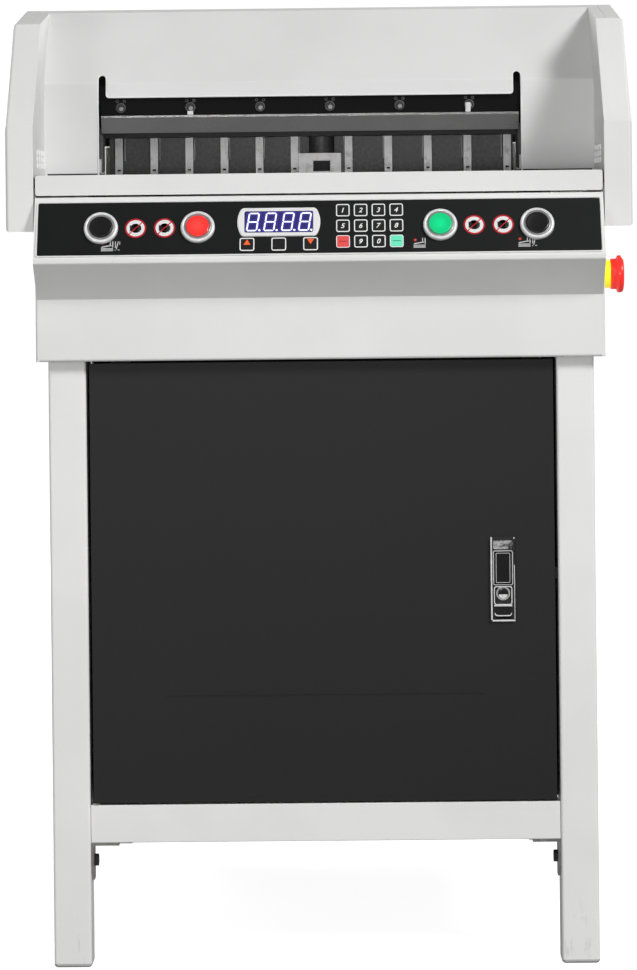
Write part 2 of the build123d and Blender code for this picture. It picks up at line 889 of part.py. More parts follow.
cover_path = [(console_return, console_top), (0, console_top), (-lip_reach, lip_top),
              (-lip_reach, lip_bottom), (apron_front, apron_top), (apron_front, apron_bottom),
              (apron_front + apron_return, apron_bottom)]
front_cover = folded(cover_path, cover_sheet, -console_half, console_half)
cheek_points = cover_path[1:-1] + [(apron_back, apron_bottom), (apron_back, console_top)]
for side in (-1, 1):
    left = min(side * console_half, side * (console_half - cover_sheet))
    front_cover = front_cover + side_profile(cheek_points, left, left + cover_sheet)

panel_plane = Plane(origin=(0, 0, console_top), x_dir=(1, 0, 0),
                    z_dir=(0, lip_top - console_top, lip_reach))


def on_panel(across, row, lift, shape):
    # A shape set on the sloping console, its row counted down from the edge of the panel.
    return panel_plane * Pos(across, -panel_drop - row, lift) * shape


def plaque(width, height, thick, corner):
    body = Box(width, height, thick, align=standing)
    return fillet(upright_edges(body), corner)


def disc(radius, thick):
    return Cylinder(radius, thick, align=standing)


button_places = [-button_outer_x, -button_inner_x, button_inner_x, button_outer_x]
display_body_width = window_width + cover_sheet + cover_sheet
display_body_height = window_height + cover_sheet
overlay = on_panel(0, panel_length * half_share, 0, plaque(panel_half / half_share, panel_length,
                                                           panel_thick, panel_round))
display_hole = Box(display_body_width + seat_gap, display_body_height + seat_gap, display_depth,
                   align=standing)
front_cover = front_cover - on_panel(display_centre_x, display_row, -display_depth, display_hole)
overlay = overlay - on_panel(display_centre_x, display_row, 0, display_hole)
for place in button_places:
    front_cover = front_cover - on_panel(place, button_row, -display_depth,
                                         disc(tube_outer_radius + seat_gap, display_depth))
    overlay = overlay - on_panel(place, button_row, 0, disc(bezel_floor_radius + seat_gap, display_depth))
keep("front_cover", front_cover)
keep("control_panel", overlay)

# Push buttons: each bezel has a tube through the sheet and a nut behind it.
bezels = []
for place in button_places:
    ring = disc(bezel_radius, bezel_height)
    ring = chamfer(ring.faces().sort_by(Axis.Z)[-1].edges(), bezel_chamfer)
    ring = Pos(0, 0, panel_thick) * (ring - disc(button_radius + slide_gap, bezel_height))
    floor_disc = disc(bezel_floor_radius, panel_thick)
    tube = Pos(0, 0, -tube_length) * disc(tube_outer_radius, tube_length)
    nut = Pos(0, 0, -cover_sheet - nut_thick) * extrude(RegularPolygon(nut_radius, hex_sides), nut_thick)
    bore = Pos(0, 0, -tube_length) * disc(stem_radius + slide_gap, tube_length + panel_thick)
    bezels.append(on_panel(place, button_row, 0, ring + floor_disc + tube + nut - bore))
keep("button_bezels", *bezels)

cap_top = panel_thick + bezel_height + button_proud
cap_low = panel_thick + button_travel + seat_gap
cap = Pos(0, 0, cap_low) * disc(button_radius, cap_top - cap_low)
cap = chamfer(cap.faces().sort_by(Axis.Z)[-1].edges(), button_chamfer)
stem = Pos(0, 0, -tube_length) * disc(stem_radius, tube_length + cap_low)
stem_collar = Pos(0, 0, -tube_length - stem_collar_thick) * disc(stem_collar_radius, stem_collar_thick)
button = cap + stem + stem_collar
names = ["cut_button_left", "power_button", "reset_button", "cut_button_right"]
for name, place in zip(names, button_places):
    keep(name, on_panel(place, button_row, 0, button))

# Display: a frame with bulged ends round a window, and its body through the sheet.
half_width = display_width * half_share
half_height = display_height * half_share
shoulder = half_width - display_bulge
side_curve = ThreePointArc((shoulder, -half_height), (half_width, 0), (shoulder, half_height))
other_curve = ThreePointArc((-shoulder, half_height), (-half_width, 0), (-shoulder, -half_height))
top_line = Line((shoulder, half_height), (-shoulder, half_height))
low_line = Line((-shoulder, -half_height), (shoulder, -half_height))
frame_face = make_face([side_curve, top_line, other_curve, low_line])
frame_plate = Pos(0, 0, panel_thick) * extrude(frame_face, amount=display_proud)
display_body = Pos(0, 0, -display_depth) * Box(display_body_width, display_body_height,
                                               display_depth + panel_thick, align=standing)
window_low = panel_thick + display_proud - window_thick - slide_gap
pocket = Pos(0, 0, window_low) * plaque(window_width, window_height, display_proud, window_round)
keep("display_bezel", on_panel(display_centre_x, display_row, 0, frame_plate + display_body - pocket))
glass = Pos(0, 0, window_low) * plaque(window_width - seat_gap, window_height - seat_gap, window_thick,
                                       window_round)
keep("display_window", on_panel(display_centre_x, display_row, 0, glass))

# Keys: twelve on the right of the display and three beneath it.
def key_plate(width, height):
    body = Box(width, height, key_thick, align=standing)
    return chamfer(upright_edges(body), key_corner)


keys = []
for column in range(key_columns):
    for row in range(key_rows):
        key = key_plate(key_width, key_height)
        keys.append(on_panel(key_first_x + column * key_pitch_x, key_first_row + row * key_pitch_row,
                             panel_thick, key))
for step in (-1, 0, 1):
    key = key_plate(small_key_width, small_key_height)
    keys.append(on_panel(display_centre_x + step * small_key_pitch, small_key_row, panel_thick, key))
keep("keypad_keys", *keys)

# Emergency stop: collar and contact block on the wall, sliding stem, turning cap.
collar_end = body_half + stop_collar_length
stop_collar = rod_along_x(stop_depth, stop_height, stop_collar_radius, body_half, collar_end)
neck = rod_along_x(stop_depth, stop_height, stop_stem_radius + sheet - seat_gap, wall_inner, body_half)
contact_block = block(wall_inner - stop_block_depth, wall_inner,
                      stop_depth - stop_block_width * half_share,
                      stop_depth + stop_block_width * half_share,
                      stop_height - stop_block_width * half_share,
                      stop_height + stop_block_width * half_share)
stem_left = wall_inner - stop_stem_tail
stem_bore = rod_along_x(stop_depth, stop_height, stop_stem_radius + slide_gap, stem_left, collar_end)
tail_room = rod_along_x(stop_depth, stop_height, stop_tail_collar_radius + slide_gap,
                        stem_left - sheet, stem_left + stop_travel + stop_tail_collar_thick + sheet)
keep("estop_collar", stop_collar + neck + contact_block - stem_bore - tail_room)

cap_left = collar_end + stop_cap_gap
cap_right = cap_left + stop_cap_length
stem_right = cap_left + stop_shaft_bore
stop_stem = rod_along_x(stop_depth, stop_height, stop_stem_radius,
                        stem_left + stop_travel + sheet, stem_right)
tail_collar = rod_along_x(stop_depth, stop_height, stop_tail_collar_radius,
                          stem_left + stop_travel + sheet,
                          stem_left + stop_travel + sheet + stop_tail_collar_thick)
keep("estop_stem", stop_stem + tail_collar)
stop_cap = rod_along_x(stop_depth, stop_height, stop_cap_radius, cap_left, cap_right)
flange = rod_along_x(stop_depth, stop_height, stop_flange_radius, cap_right - stop_flange_length, cap_right)
flange = chamfer(flange.edges().filter_by(GeomType.CIRCLE), stop_flange_chamfer)
stop_cap = stop_cap - rod_along_x(stop_depth, stop_height, stop_cap_radius - stop_cap_wall, cap_left,
                                  cap_left + stop_cup_depth)
stop_cap = stop_cap + flange
stop_cap = stop_cap - rod_along_x(stop_depth, stop_height, stop_stem_radius + running_gap, cap_left,
                                  stem_right)
keep("estop_cap", stop_cap)

# Side frames: thick plates with the guide bars of the knife and the clamp.
throat_left = throat_centre - throat_half
throat_right = throat_centre + throat_half
base_top = leg_top + base_plate_thick
frame_points = [(frame_front, base_top), (frame_rear, base_top), (frame_rear, frame_top),
                (frame_shoulder_depth, frame_top), (frame_front, frame_shoulder)]
frames = []
frame_places = []
for side in (-1, 1):
    inner = throat_centre + side * frame_half
    left = min(inner, inner + side * frame_thick)
    frame_places.append(left)
    plate = side_profile(frame_points, left, left + frame_thick)
    guide_left = min(inner, inner - side * guide_width)
    guides = [
        (frame_front, blade_back - slide_gap, guide_front_top),
        (knife_back + slide_gap, clamp_tongue_front - slide_gap, guide_top),
        (clamp_tongue_rear + slide_gap, clamp_tongue_rear + guide_rear_thick, guide_top),
    ]
    for front, rear, top in guides:
        plate = plate + block(guide_left, guide_left + guide_width, front, rear, guide_low, top)
    frames.append(plate)
keep("side_frames", *frames)
spindle_x = throat_centre
beam = block(frame_places[0], frame_places[1] + frame_thick, beam_front, beam_rear, frame_top,
             frame_top + beam_thick)
beam_top = frame_top + beam_thick
keep("top_beam", beam - rod_upright(spindle_x, clamp_spindle_depth, clamp_spindle_radius + running_gap,
                                    frame_top, beam_top))

# Knife: a bar that wraps over the blade, six bolts, and pull rods to a yoke under the table.
carrier_half = frame_half - carrier_end_gap
blade_left = throat_centre - knife_half
blade_right = throat_centre + knife_half
carrier = block(throat_centre - carrier_half, throat_centre + carrier_half, blade_back, knife_back,
                carrier_bottom, carrier_top)
carrier = carrier + block(blade_left, blade_right, knife_front, blade_front, holder_bottom, holder_top)
carrier = carrier + block(blade_left, blade_right, knife_front, blade_back, blade_top, holder_top)
blade_points = [(blade_back, blade_edge), (blade_back, blade_top), (blade_front, blade_top),
                (blade_front, blade_bevel_top)]
blade = side_profile(blade_points, blade_left, blade_right)
bolt_end = knife_back - cover_sheet
screws = []
for index in range(bolt_count):
    place = bolt_first_x + index * bolt_pitch_x
    hole = rod_along_y(place, knife_bolt_height, knife_bolt_shank + running_gap, knife_front, bolt_end)
    carrier = carrier - hole
    blade = blade - hole
    head = rod_along_y(place, knife_bolt_height, knife_bolt_head_radius, knife_front - knife_bolt_head,
                       knife_front)
    hexagon = extrude(RegularPolygon(knife_bolt_hex, hex_sides), amount=knife_bolt_hex_depth)
    socket = Rot(-quarter_turn, 0, 0) * hexagon
    socket = Pos(place, knife_front - knife_bolt_head, knife_bolt_height) * socket
    shank = rod_along_y(place, knife_bolt_height, knife_bolt_shank, knife_front, bolt_end)
    screws.append(head - socket + shank)
keep("knife_carrier", carrier)
keep("knife_blade", blade)
keep("knife_bolts", *screws)
rod_depth = (yoke_front + yoke_rear) * half_share
yoke = block(throat_centre - rod_x - rod_radius, throat_centre + rod_x + rod_radius, yoke_front, yoke_rear,
             yoke_bottom, yoke_top)
for side in (-1, 1):
    yoke = yoke + rod_upright(throat_centre + side * rod_x, rod_depth, rod_radius, yoke_top, carrier_bottom)
yoke = yoke - rod_upright(spindle_x, rod_depth, spindle_radius + running_gap, yoke_bottom, yoke_top)
keep("knife_yoke", yoke)
spindle_foot = gearbox_low_top - screw_tail
keep("knife_spindle", rod_upright(spindle_x, rod_depth, spindle_radius, spindle_foot, spindle_top))

# Clamp beam with lightening pockets, guided by its end tongues and moved by a screw.
clamp = block(throat_centre - clamp_half, throat_centre + clamp_half, clamp_front, clamp_rear,
              clamp_bottom, clamp_top)
clamp = clamp + block(throat_centre - carrier_half, throat_centre + carrier_half, clamp_tongue_front,
                      clamp_tongue_rear, clamp_bottom, clamp_top)
for side in (-1, 1):
    near = spindle_x + side * clamp_boss_half
    far = spindle_x + side * clamp_pocket_half
    clamp = clamp - block(min(near, far), max(near, far), clamp_front + clamp_pocket_wall,
                          clamp_rear - clamp_pocket_wall, clamp_top - clamp_pocket_depth, clamp_top)
clamp = clamp - rod_upright(spindle_x, clamp_spindle_depth, clamp_spindle_radius + running_gap,
                            clamp_bore_low, clamp_top)
keep("clamp_beam", clamp)
clamp_box_bore = beam_top + screw_tail * half_share
clamp_screw = rod_upright(spindle_x, clamp_spindle_depth, clamp_spindle_radius, clamp_spindle_low,
                          clamp_box_bore)
clamp_screw = clamp_screw + rod_upright(spindle_x, clamp_spindle_depth, clamp_spindle_collar,
                                        frame_top - clamp_spindle_collar_thick, frame_top)
keep("clamp_spindle", clamp_screw)

# Table: a plate with ribs, windows for the side frames, a gauge slot and rod holes.
table_front = cover_sheet
table = block(-table_half, table_half, table_front, table_rear, table_low, table_top)
for side in (-1, 1):
    left = side * rib_x - rib_width * half_share
    table = table + block(left, left + rib_width, rib_front, body_rear - rib_width, table_low - rib_height,
                          table_low)
    table = table - rod_upright(throat_centre + side * rod_x, rod_depth, rod_radius + rod_hole_gap,
                                table_low, table_top)
for left, side in zip(frame_places, (-1, 1)):
    table = table - block(left - window_gap, left + frame_thick + window_gap, frame_front - window_gap,
                          frame_rear + window_gap, table_low, table_top)
table = table - block(throat_centre - stick_half - seat_gap, throat_centre + stick_half + seat_gap,
                      stick_front - seat_gap, stick_rear + seat_gap, table_low, table_top)
slot_rear = table_rear * slot_rear_share
table = table - block(gauge_centre_x - slot_half, gauge_centre_x + slot_half, gauge_front, slot_rear,
                      table_low, table_top)
keep("cutting_stick", block(throat_centre - stick_half, throat_centre + stick_half, stick_front, stick_rear,
                            table_low, table_top - stick_drop))
trim = block(-table_half, table_half, 0, cover_sheet, trim_bottom, table_top)
trim = fillet(trim.edges().filter_by(Axis.Y), trim_round)
trim_end = table_half - trim_round
keep("table_trim", trim + block(-trim_end, trim_end, 0, trim_return, trim_bottom, trim_bottom + cover_sheet))
posts = []
for side in (-1, 1):
    for depth in (post_front_depth, post_rear_depth):
        left = side * post_x - post_side * half_share
        front = depth - post_side * half_share
        post = block(left, left + post_side, front, front + post_side, base_top, table_low)
        posts.append(post - block(left + post_wall, left + post_side - post_wall, front + post_wall,
                                  front + post_side - post_wall, base_top, table_low))
keep("table_posts", *posts)
fence_inner = gauge_left_half + sheet
fences = []
for side in (-1, 1):
    near = throat_centre + side * fence_inner
    far = near + side * fence_thick
    fence = block(min(near, far), max(near, far), fence_front, table_rear - fence_end_gap, table_top,
                  table_top + fence_height)
    fences.append(chamfer(fence.faces().sort_by(Axis.Z)[-1].edges(), bend_radius))
keep("rear_fences", *fences)

# Side covers: deep trays, with an inner cheek that carries the light curtain.
roof_rise = (roof_ridge - cover_slope_top) / (roof_ridge_depth - cover_slope_depth)


def roof_height(depth):
    return cover_slope_top + (depth - cover_slope_depth) * roof_rise


cover_points = [(0, cover_bottom), (roof_rear_depth, cover_bottom), (roof_rear_depth, roof_rear_top),
                (roof_ridge_depth, roof_ridge), (cover_slope_depth, cover_slope_top), (0, cover_kink)]
inner_points = beside(cover_points, cover_sheet, closed=True)
for side, name in ((-1, "side_cover_left"), (1, "side_cover_right")):
    near = side * body_half
    far = side * cover_outer
    tray = side_profile(cover_points, min(near, far), max(near, far))
    outer_face = tray.faces().sort_by(Axis.X)[0 if side < 0 else -1]
    tray = fillet(outer_face.edges(), cover_round)
    floor_x = side * (cover_outer - cover_sheet)
    tray = tray - side_profile(inner_points, min(near, floor_x), max(near, floor_x))
    seam = side * (roof_seam_x + roof_seam_gap)
    tray = tray - block(min(near, seam), max(near, seam), roof_front_depth - roof_seam_gap,
                        roof_rear_depth, roof_rear_bottom - roof_seam_gap, roof_ridge)
    keep(name, tray)
cheeks = []
lenses = []
for side in (-1, 1):
    near = side * body_half
    back = side * (body_half + cover_sheet)
    cheek = side_profile(inner_points, min(near, back), max(near, back))
    cheek = fillet(cheek.edges().filter_by(Axis.X), cover_sheet)
    for column in range(slit_columns):
        for row in range(slit_rows):
            front = slit_first_depth + column * slit_pitch_depth
            low = slit_first_height + row * slit_pitch_height
            cheek = cheek - block(min(near, back), max(near, back), front, front + slit_width, low,
                                  low + slit_height)
    cheeks.append(cheek)
    far = side * (body_half + cover_sheet + lens_thick)
    lenses.append(block(min(back, far), max(back, far), lens_front, lens_rear, lens_bottom, lens_top))
keep("cover_cheeks", *cheeks)
keep("light_curtain", *lenses)

# Hood: the front plate with its throat and end slots, and the roof behind it.
hood_bottom = table_top + hood_bottom_gap
hood_path = [(hood_top_depth, roof_height(hood_top_depth)), (hood_depth, hood_bend),
             (hood_depth, hood_bottom)]
hood = folded(hood_path, cover_sheet, -body_half, body_half)
cut_rear = hood_top_depth
cutter = block(throat_left, throat_right, hood_depth, cut_rear, hood_bottom, throat_top)
inner_corners = []
top_corners = []
for side in (-1, 1):
    outer_x = throat_centre + side * throat_half
    inner_x = outer_x - side * slot_width
    cutter = cutter + block(min(outer_x, inner_x), max(outer_x, inner_x), hood_depth, cut_rear,
                            hood_bottom, slot_top)
    inner_corners.append((inner_x, throat_top))
    top_corners += [(outer_x, slot_top), (inner_x, slot_top)]
cutter = fillet(edges_at(cutter, Axis.Y, inner_corners), throat_round)
cutter = fillet(edges_at(cutter, Axis.Y, top_corners), slot_width * half_share - seat_gap)
hood = hood - cutter
foot_corners = [(throat_left, hood_bottom), (throat_right, hood_bottom)]
keep("hood_front", fillet(edges_at(hood, Axis.Y, foot_corners), throat_foot_round))
roof_start = hood_top_depth + cover_sheet
roof_back = [(roof_rear_depth, roof_rear_bottom), (roof_rear_depth, roof_rear_top),
             (roof_ridge_depth, roof_ridge)]
roof = folded(roof_back + [(roof_start, roof_height(roof_start))], cover_sheet, -body_half, body_half)
for side in (-1, 1):
    near = side * body_half
    far = side * roof_seam_x
    roof = roof + folded(roof_back + [(roof_front_depth, roof_height(roof_front_depth))], cover_sheet,
                         min(near, far), max(near, far))
keep("hood_roof", roof)

# Back gauge: a plate with fingers on each side of a block, on a carriage that runs on rails under the table.
gauge_bottom = table_top + gauge_lift
gauge_back = gauge_front + gauge_thick
gauge_left = throat_centre - gauge_left_half
gauge_right = throat_centre + gauge_left_half
comb_runs = [
    (gauge_left, gauge_centre_x - gauge_post_radius - slide_gap, comb_left_first, comb_left_pitch,
     comb_left_count),
    (gauge_centre_x + gauge_post_radius + slide_gap, gauge_right, comb_right_first, comb_right_pitch,
     comb_right_count),
]
combs = []
plate_rear = gauge_bar_rear + comb_plate_thick
for left, right, first, pitch, count in comb_runs:
    comb = block(left, right, gauge_bar_rear, plate_rear, gauge_bottom, gauge_top)
    for index in range(count):
        finger_left = first + index * pitch - finger_width * half_share
        finger = block(finger_left, finger_left + finger_width, gauge_front, gauge_bar_rear, gauge_bottom,
                       gauge_top)
        finger = chamfer(finger.faces().sort_by(Axis.Y)[0].edges().filter_by(Axis.Z), finger_chamfer)
        slot_left = first + index * pitch - finger_slot_width * half_share
        comb = comb + finger - block(slot_left, slot_left + finger_slot_width, gauge_front,
                                     gauge_front + finger_slot_depth, finger_slot_low,
                                     finger_slot_low + finger_slot_height)
    comb = comb - block(left, right, gauge_back, gauge_bar_rear, gauge_bottom, gauge_bar_top)
    combs.append(comb - block(gauge_centre_x - gauge_block_half, gauge_centre_x + gauge_block_half,
                              gauge_block_front, gauge_block_rear, gauge_bottom, gauge_block_top))
keep("gauge_combs", *combs)
gauge_block = block(gauge_centre_x - gauge_block_half, gauge_centre_x + gauge_block_half,
                    gauge_block_front, gauge_block_rear, gauge_bottom,
                    gauge_block_top)
gauge_block = gauge_block - block(gauge_centre_x - gauge_pocket_half, gauge_centre_x + gauge_pocket_half,
                                  gauge_block_front, gauge_block_front + gauge_pocket_depth,
                                  gauge_pocket_low, gauge_pocket_top)
carriage = gauge_block + block(gauge_left, gauge_right, gauge_back, gauge_bar_rear, gauge_bottom,
                               gauge_bar_top)
carriage = carriage + rod_upright(gauge_centre_x, gauge_post_depth, gauge_post_radius, gauge_block_top,
                                  gauge_post_top)
carriage = carriage + block(gauge_centre_x - stem_half, gauge_centre_x + stem_half, stem_front, stem_rear,
                            carriage_top, gauge_bottom)
carriage = carriage + block(gauge_centre_x - carriage_half, gauge_centre_x + carriage_half,
                            carriage_front, carriage_rear, carriage_low, carriage_top)
rail_places = [gauge_centre_x - gauge_rail_x, gauge_centre_x + gauge_rail_x]
blocks = []
rear_block_back = rear_block_front + block_thick
for front in (block_front, rear_block_front):
    blocks.append(block(gauge_centre_x - carriage_half, gauge_centre_x + carriage_half, front,
                        front + block_thick, block_low, table_low))
bores = [rod_along_y(gauge_centre_x, screw_height, screw_radius + running_gap, block_front, rear_block_back)]
for place in rail_places:
    bores.append(rod_along_y(place, screw_height, gauge_rail_radius + running_gap, block_front,
                             rear_block_back))
for bore in bores:
    carriage = carriage - bore
    blocks = [body - bore for body in blocks]
keep("gauge_carriage", carriage)
for body in blocks:
    table = table + body
keep("table_plate", table)
keep("gauge_rails", *[rod_along_y(place, screw_height, gauge_rail_radius, block_front, rear_block_back)
                      for place in rail_places])
screw_end = rear_block_back + screw_tail
lead_screw = rod_along_y(gauge_centre_x, screw_height, screw_radius, block_front - stem_collar_thick,
                         screw_end)
screw_collar = rod_along_y(gauge_centre_x, screw_height, tube_outer_radius, block_front - stem_collar_thick,
                           block_front)
keep("lead_screw", lead_screw + screw_collar)

# Drives: knife gearbox with its motor, clamp gearbox with its motor, gauge motor.
knife_box = block(gearbox_left, gearbox_right, gearbox_front, gearbox_rear, base_top, gearbox_low_top)
knife_box = knife_box + block(gearbox_left, gearbox_right, gearbox_front, gearbox_step, gearbox_low_top,
                              gearbox_high_top)
knife_box = knife_box - rod_upright(spindle_x, rod_depth, spindle_radius + running_gap, spindle_foot,
                                    gearbox_low_top)
motor_depth = (gearbox_front + gearbox_step) * half_share
motor_height = gearbox_high_top - knife_motor_radius - cover_sheet
knife_motor = rod_along_x(motor_depth, motor_height, knife_motor_radius, gearbox_right, knife_motor_right)
motor_foot = block(gearbox_right + motor_foot_width, gearbox_right + motor_foot_width + motor_foot_width,
                   motor_depth - motor_foot_half, motor_depth + motor_foot_half, base_top, motor_height)
keep("knife_drive", knife_box, knife_motor + motor_foot)
clamp_left = spindle_x - clamp_box_half
clamp_right = spindle_x + clamp_box_half
clamp_box = block(clamp_left, clamp_right, clamp_box_front, clamp_box_rear, beam_top, clamp_box_top)
clamp_box = clamp_box + block(clamp_left, clamp_right, beam_rear, clamp_box_rear, clamp_box_low, beam_top)
clamp_box = clamp_box - rod_upright(spindle_x, clamp_spindle_depth, clamp_spindle_radius + running_gap,
                                    beam_top, clamp_box_bore)
clamp_motor = rod_along_x(clamp_motor_depth, clamp_motor_height, clamp_motor_radius, clamp_right,
                          clamp_right + clamp_motor_length)
keep("clamp_drive", clamp_box, clamp_motor)
gauge_motor = block(gauge_centre_x - gauge_motor_half, gauge_centre_x + gauge_motor_half, rear_block_back,
                    rear_block_back + gauge_motor_length, screw_height - gauge_motor_half,
                    screw_height + gauge_motor_half)
gauge_motor = chamfer(gauge_motor.edges().filter_by(Axis.Y), cap_chamfer)
keep("gauge_motor", gauge_motor - rod_along_y(gauge_centre_x, screw_height, screw_radius + running_gap,
                                              rear_block_back, screw_end))

# Control unit on the base plate, mains inlet and switch in the rear wall.
control = block(control_left, control_right, control_front, control_rear, base_top,
                base_top + control_height)
keep("control_unit", fillet(upright_edges(control), control_round))
inlet = block(inlet_left, inlet_right, body_rear, body_rear + inlet_proud, inlet_low, inlet_high)
inlet = inlet + block(inlet_left + cover_sheet + seat_gap, inlet_right - cover_sheet - seat_gap,
                      body_rear - inlet_depth, body_rear, inlet_low + cover_sheet + seat_gap,
                      inlet_high - cover_sheet - seat_gap)
pocket_x = inlet_x - inlet_shift
inlet = inlet - block(pocket_x - inlet_pocket_width * half_share, pocket_x + inlet_pocket_width * half_share,
                      body_rear - inlet_depth * half_share, body_rear + inlet_proud,
                      inlet_height - inlet_pocket_tall * half_share,
                      inlet_height + inlet_pocket_tall * half_share)
rocker_x = inlet_x + rocker_shift
rocker_face = body_rear + inlet_proud
inlet = inlet - block(rocker_x - rocker_width * half_share - slide_gap,
                      rocker_x + rocker_width * half_share + slide_gap, rocker_face - rocker_depth - sheet,
                      rocker_face, inlet_height - rocker_tall * half_share - sheet,
                      inlet_height + rocker_tall * half_share + sheet)
keep("mains_inlet", inlet)
rocker = Box(rocker_width, rocker_depth, rocker_tall)
rocker = fillet(rocker.edges().filter_by(Axis.X), sheet)
rocker_depth_place = rocker_face + rocker_proud - rocker_depth * half_share
rocker_pin = rod_along_x(0, 0, bend_radius, -rocker_width * half_share - slide_gap,
                         rocker_width * half_share + slide_gap)
rocker = Rot(rocker_tilt, 0, 0) * (rocker + rocker_pin)
keep("mains_rocker", Pos(rocker_x, rocker_depth_place, inlet_height) * rocker)

os.makedirs("parts", exist_ok=True)
for name, shape in pieces.items():
    shape.label = name
    export_step(shape, f"parts/{name}.step")
box = Compound(children=[part for shape in pieces.values() for part in shape.solids()]).bounding_box()
print(len(pieces), "nodes", box.min, box.max)
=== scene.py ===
# Electric paper cutter on its cabinet stand: finishes, printed parts, trim and light.
# Depth here is counted from the front faces of the side covers, as on the drawings, in millimetres.
import json
import bmesh
import bpy
import numpy as np
from math import pi, radians
from mathutils import Matrix

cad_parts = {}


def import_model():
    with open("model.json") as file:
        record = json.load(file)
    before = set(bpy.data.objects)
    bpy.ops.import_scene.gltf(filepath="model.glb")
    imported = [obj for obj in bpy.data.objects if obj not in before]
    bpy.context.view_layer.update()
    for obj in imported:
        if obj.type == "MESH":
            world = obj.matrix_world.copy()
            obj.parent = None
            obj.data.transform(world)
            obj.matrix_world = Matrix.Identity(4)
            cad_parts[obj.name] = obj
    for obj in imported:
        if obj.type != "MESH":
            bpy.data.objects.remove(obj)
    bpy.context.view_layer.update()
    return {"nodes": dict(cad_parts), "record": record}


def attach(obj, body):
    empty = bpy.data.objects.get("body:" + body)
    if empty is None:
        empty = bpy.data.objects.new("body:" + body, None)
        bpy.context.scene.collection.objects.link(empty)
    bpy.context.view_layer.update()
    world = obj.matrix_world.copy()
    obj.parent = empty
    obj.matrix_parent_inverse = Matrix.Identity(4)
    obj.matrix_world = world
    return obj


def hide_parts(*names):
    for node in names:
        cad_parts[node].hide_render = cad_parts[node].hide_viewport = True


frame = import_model()
nodes = frame["nodes"]
slotOf = {row["node"]: row["material_slot"] for row in frame["record"]["subparts"]}
print("frame loaded:", len(nodes), "nodes")

mm, middleDepth = 0.001, 379
panel = {"top": 819, "down": (0, -0.4417, -0.8972), "out": (0, -0.8972, 0.4417), "edge": 7.4, "film": 0.8}


def world(points):
    # (across, depth, height) in mm -> (across, depth - 379, height) in m.
    return (np.asarray(points, float) - (0, middleDepth, 0)) * mm


def placePanel(points):
    # (across, row, lift) -> top edge + (7.4 + row) * down + (0.8 + lift) * out, in m.
    points = np.asarray(points, float)
    rows, lifts = points[..., 1:2] + panel["edge"], points[..., 2:3] + panel["film"]
    start = points[..., 0:1] * (1, 0, 0) + (0, 0, panel["top"])
    return world(start + rows * panel["down"] + lifts * panel["out"])


def linked(name, data):
    thing = bpy.data.objects.new(name, data)
    bpy.context.scene.collection.objects.link(thing)
    return thing


def quads(rows, columns, closeRows, closeColumns):
    # Point (i, j) is number i * columns + j, and each face joins it to (i + 1, j + 1).
    i = np.arange(rows if closeRows else rows - 1)[:, None]
    j = np.arange(columns if closeColumns else columns - 1)[None, :]
    below, beside = (i + 1) % rows, (j + 1) % columns
    corners = (i * columns + j, i * columns + beside, below * columns + beside, below * columns + j)
    return np.stack(np.broadcast_arrays(*corners), -1).reshape(-1, 4)


class Piece:
    # Gathers surfaces, then becomes one object; place turns its points into metres.
    def __init__(self, name, smooth=40, place=world):
        self.name, self.smooth, self.place = name, smooth, place
        self.points, self.faces, self.finishes, self.count = [], [], [], 0

    def surface(self, grid, finish=0, closeRows=False, closeColumns=True):
        faces = quads(*grid.shape[:2], closeRows, closeColumns)
        points = grid.reshape(-1, 3)
        self.points.append(self.place(points))
        self.faces.append(faces + self.count)
        self.finishes.append(np.full(len(faces), finish))
        self.count += len(points)
        return self

    def bars(self, *rows):
        # One thin plate for each row of frontBar's values.
        for row in rows:
            self.surface(frontBar(*row))
        return self

    def build(self, *materials, slot, body="stand", replaces=()):
        # With no material given, the piece takes its slot's finish.
        mesh = bpy.data.meshes.new(self.name)
        mesh.from_pydata(np.concatenate(self.points).tolist(), [], np.concatenate(self.faces).tolist())
        for material in materials or [finishes[slot]]:
            mesh.materials.append(material)
        mesh.polygons.foreach_set("material_index", np.concatenate(self.finishes).astype(np.int32))
        mended = bmesh.new()
        mended.from_mesh(mesh)
        bmesh.ops.remove_doubles(mended, verts=mended.verts, dist=2e-6)
        bmesh.ops.dissolve_degenerate(mended, edges=mended.edges, dist=1e-7)
        bmesh.ops.recalc_face_normals(mended, faces=mended.faces)
        mended.to_mesh(mesh)
        mended.free()
        mesh.shade_smooth()
        mesh.set_sharp_from_angle(angle=radians(self.smooth))
        thing = linked(self.name, mesh)
        if replaces:
            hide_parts(*replaces)
        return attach(thing, body)


def printed(name, smooth=40):
    # A piece laid out on the control panel.
    return Piece(name, smooth, placePanel)


def unit(vectors):
    return vectors / np.linalg.norm(vectors, axis=-1, keepdims=True)


def lathe(profile, centre, axis=(0, 0, 1), turns=48):
    # centre + along * axis + radius * (cos t * side + sin t * other) for each (along, radius).
    profile, axis = np.asarray(profile, float), unit(np.array(axis, float))
    side = unit(np.cross(axis, (1, 0, 0) if abs(axis[0]) < 0.9 else (0, 0, 1)))
    other = np.cross(axis, side)
    t = np.linspace(0, 2 * pi, turns, endpoint=False)[None, :, None]
    spokes = np.cos(t) * side + np.sin(t) * other
    return np.array(centre, float) + profile[:, :1, None] * axis + profile[:, 1:, None] * spokes


def arcPoints(centre, radius, start, stop, count=6):
    # centre + radius * (cos a, sin a), the angle a running from start to stop in degrees.
    a = np.radians(np.linspace(start, stop, count))
    return np.stack((centre[0] + radius * np.cos(a), centre[1] + radius * np.sin(a)), -1)


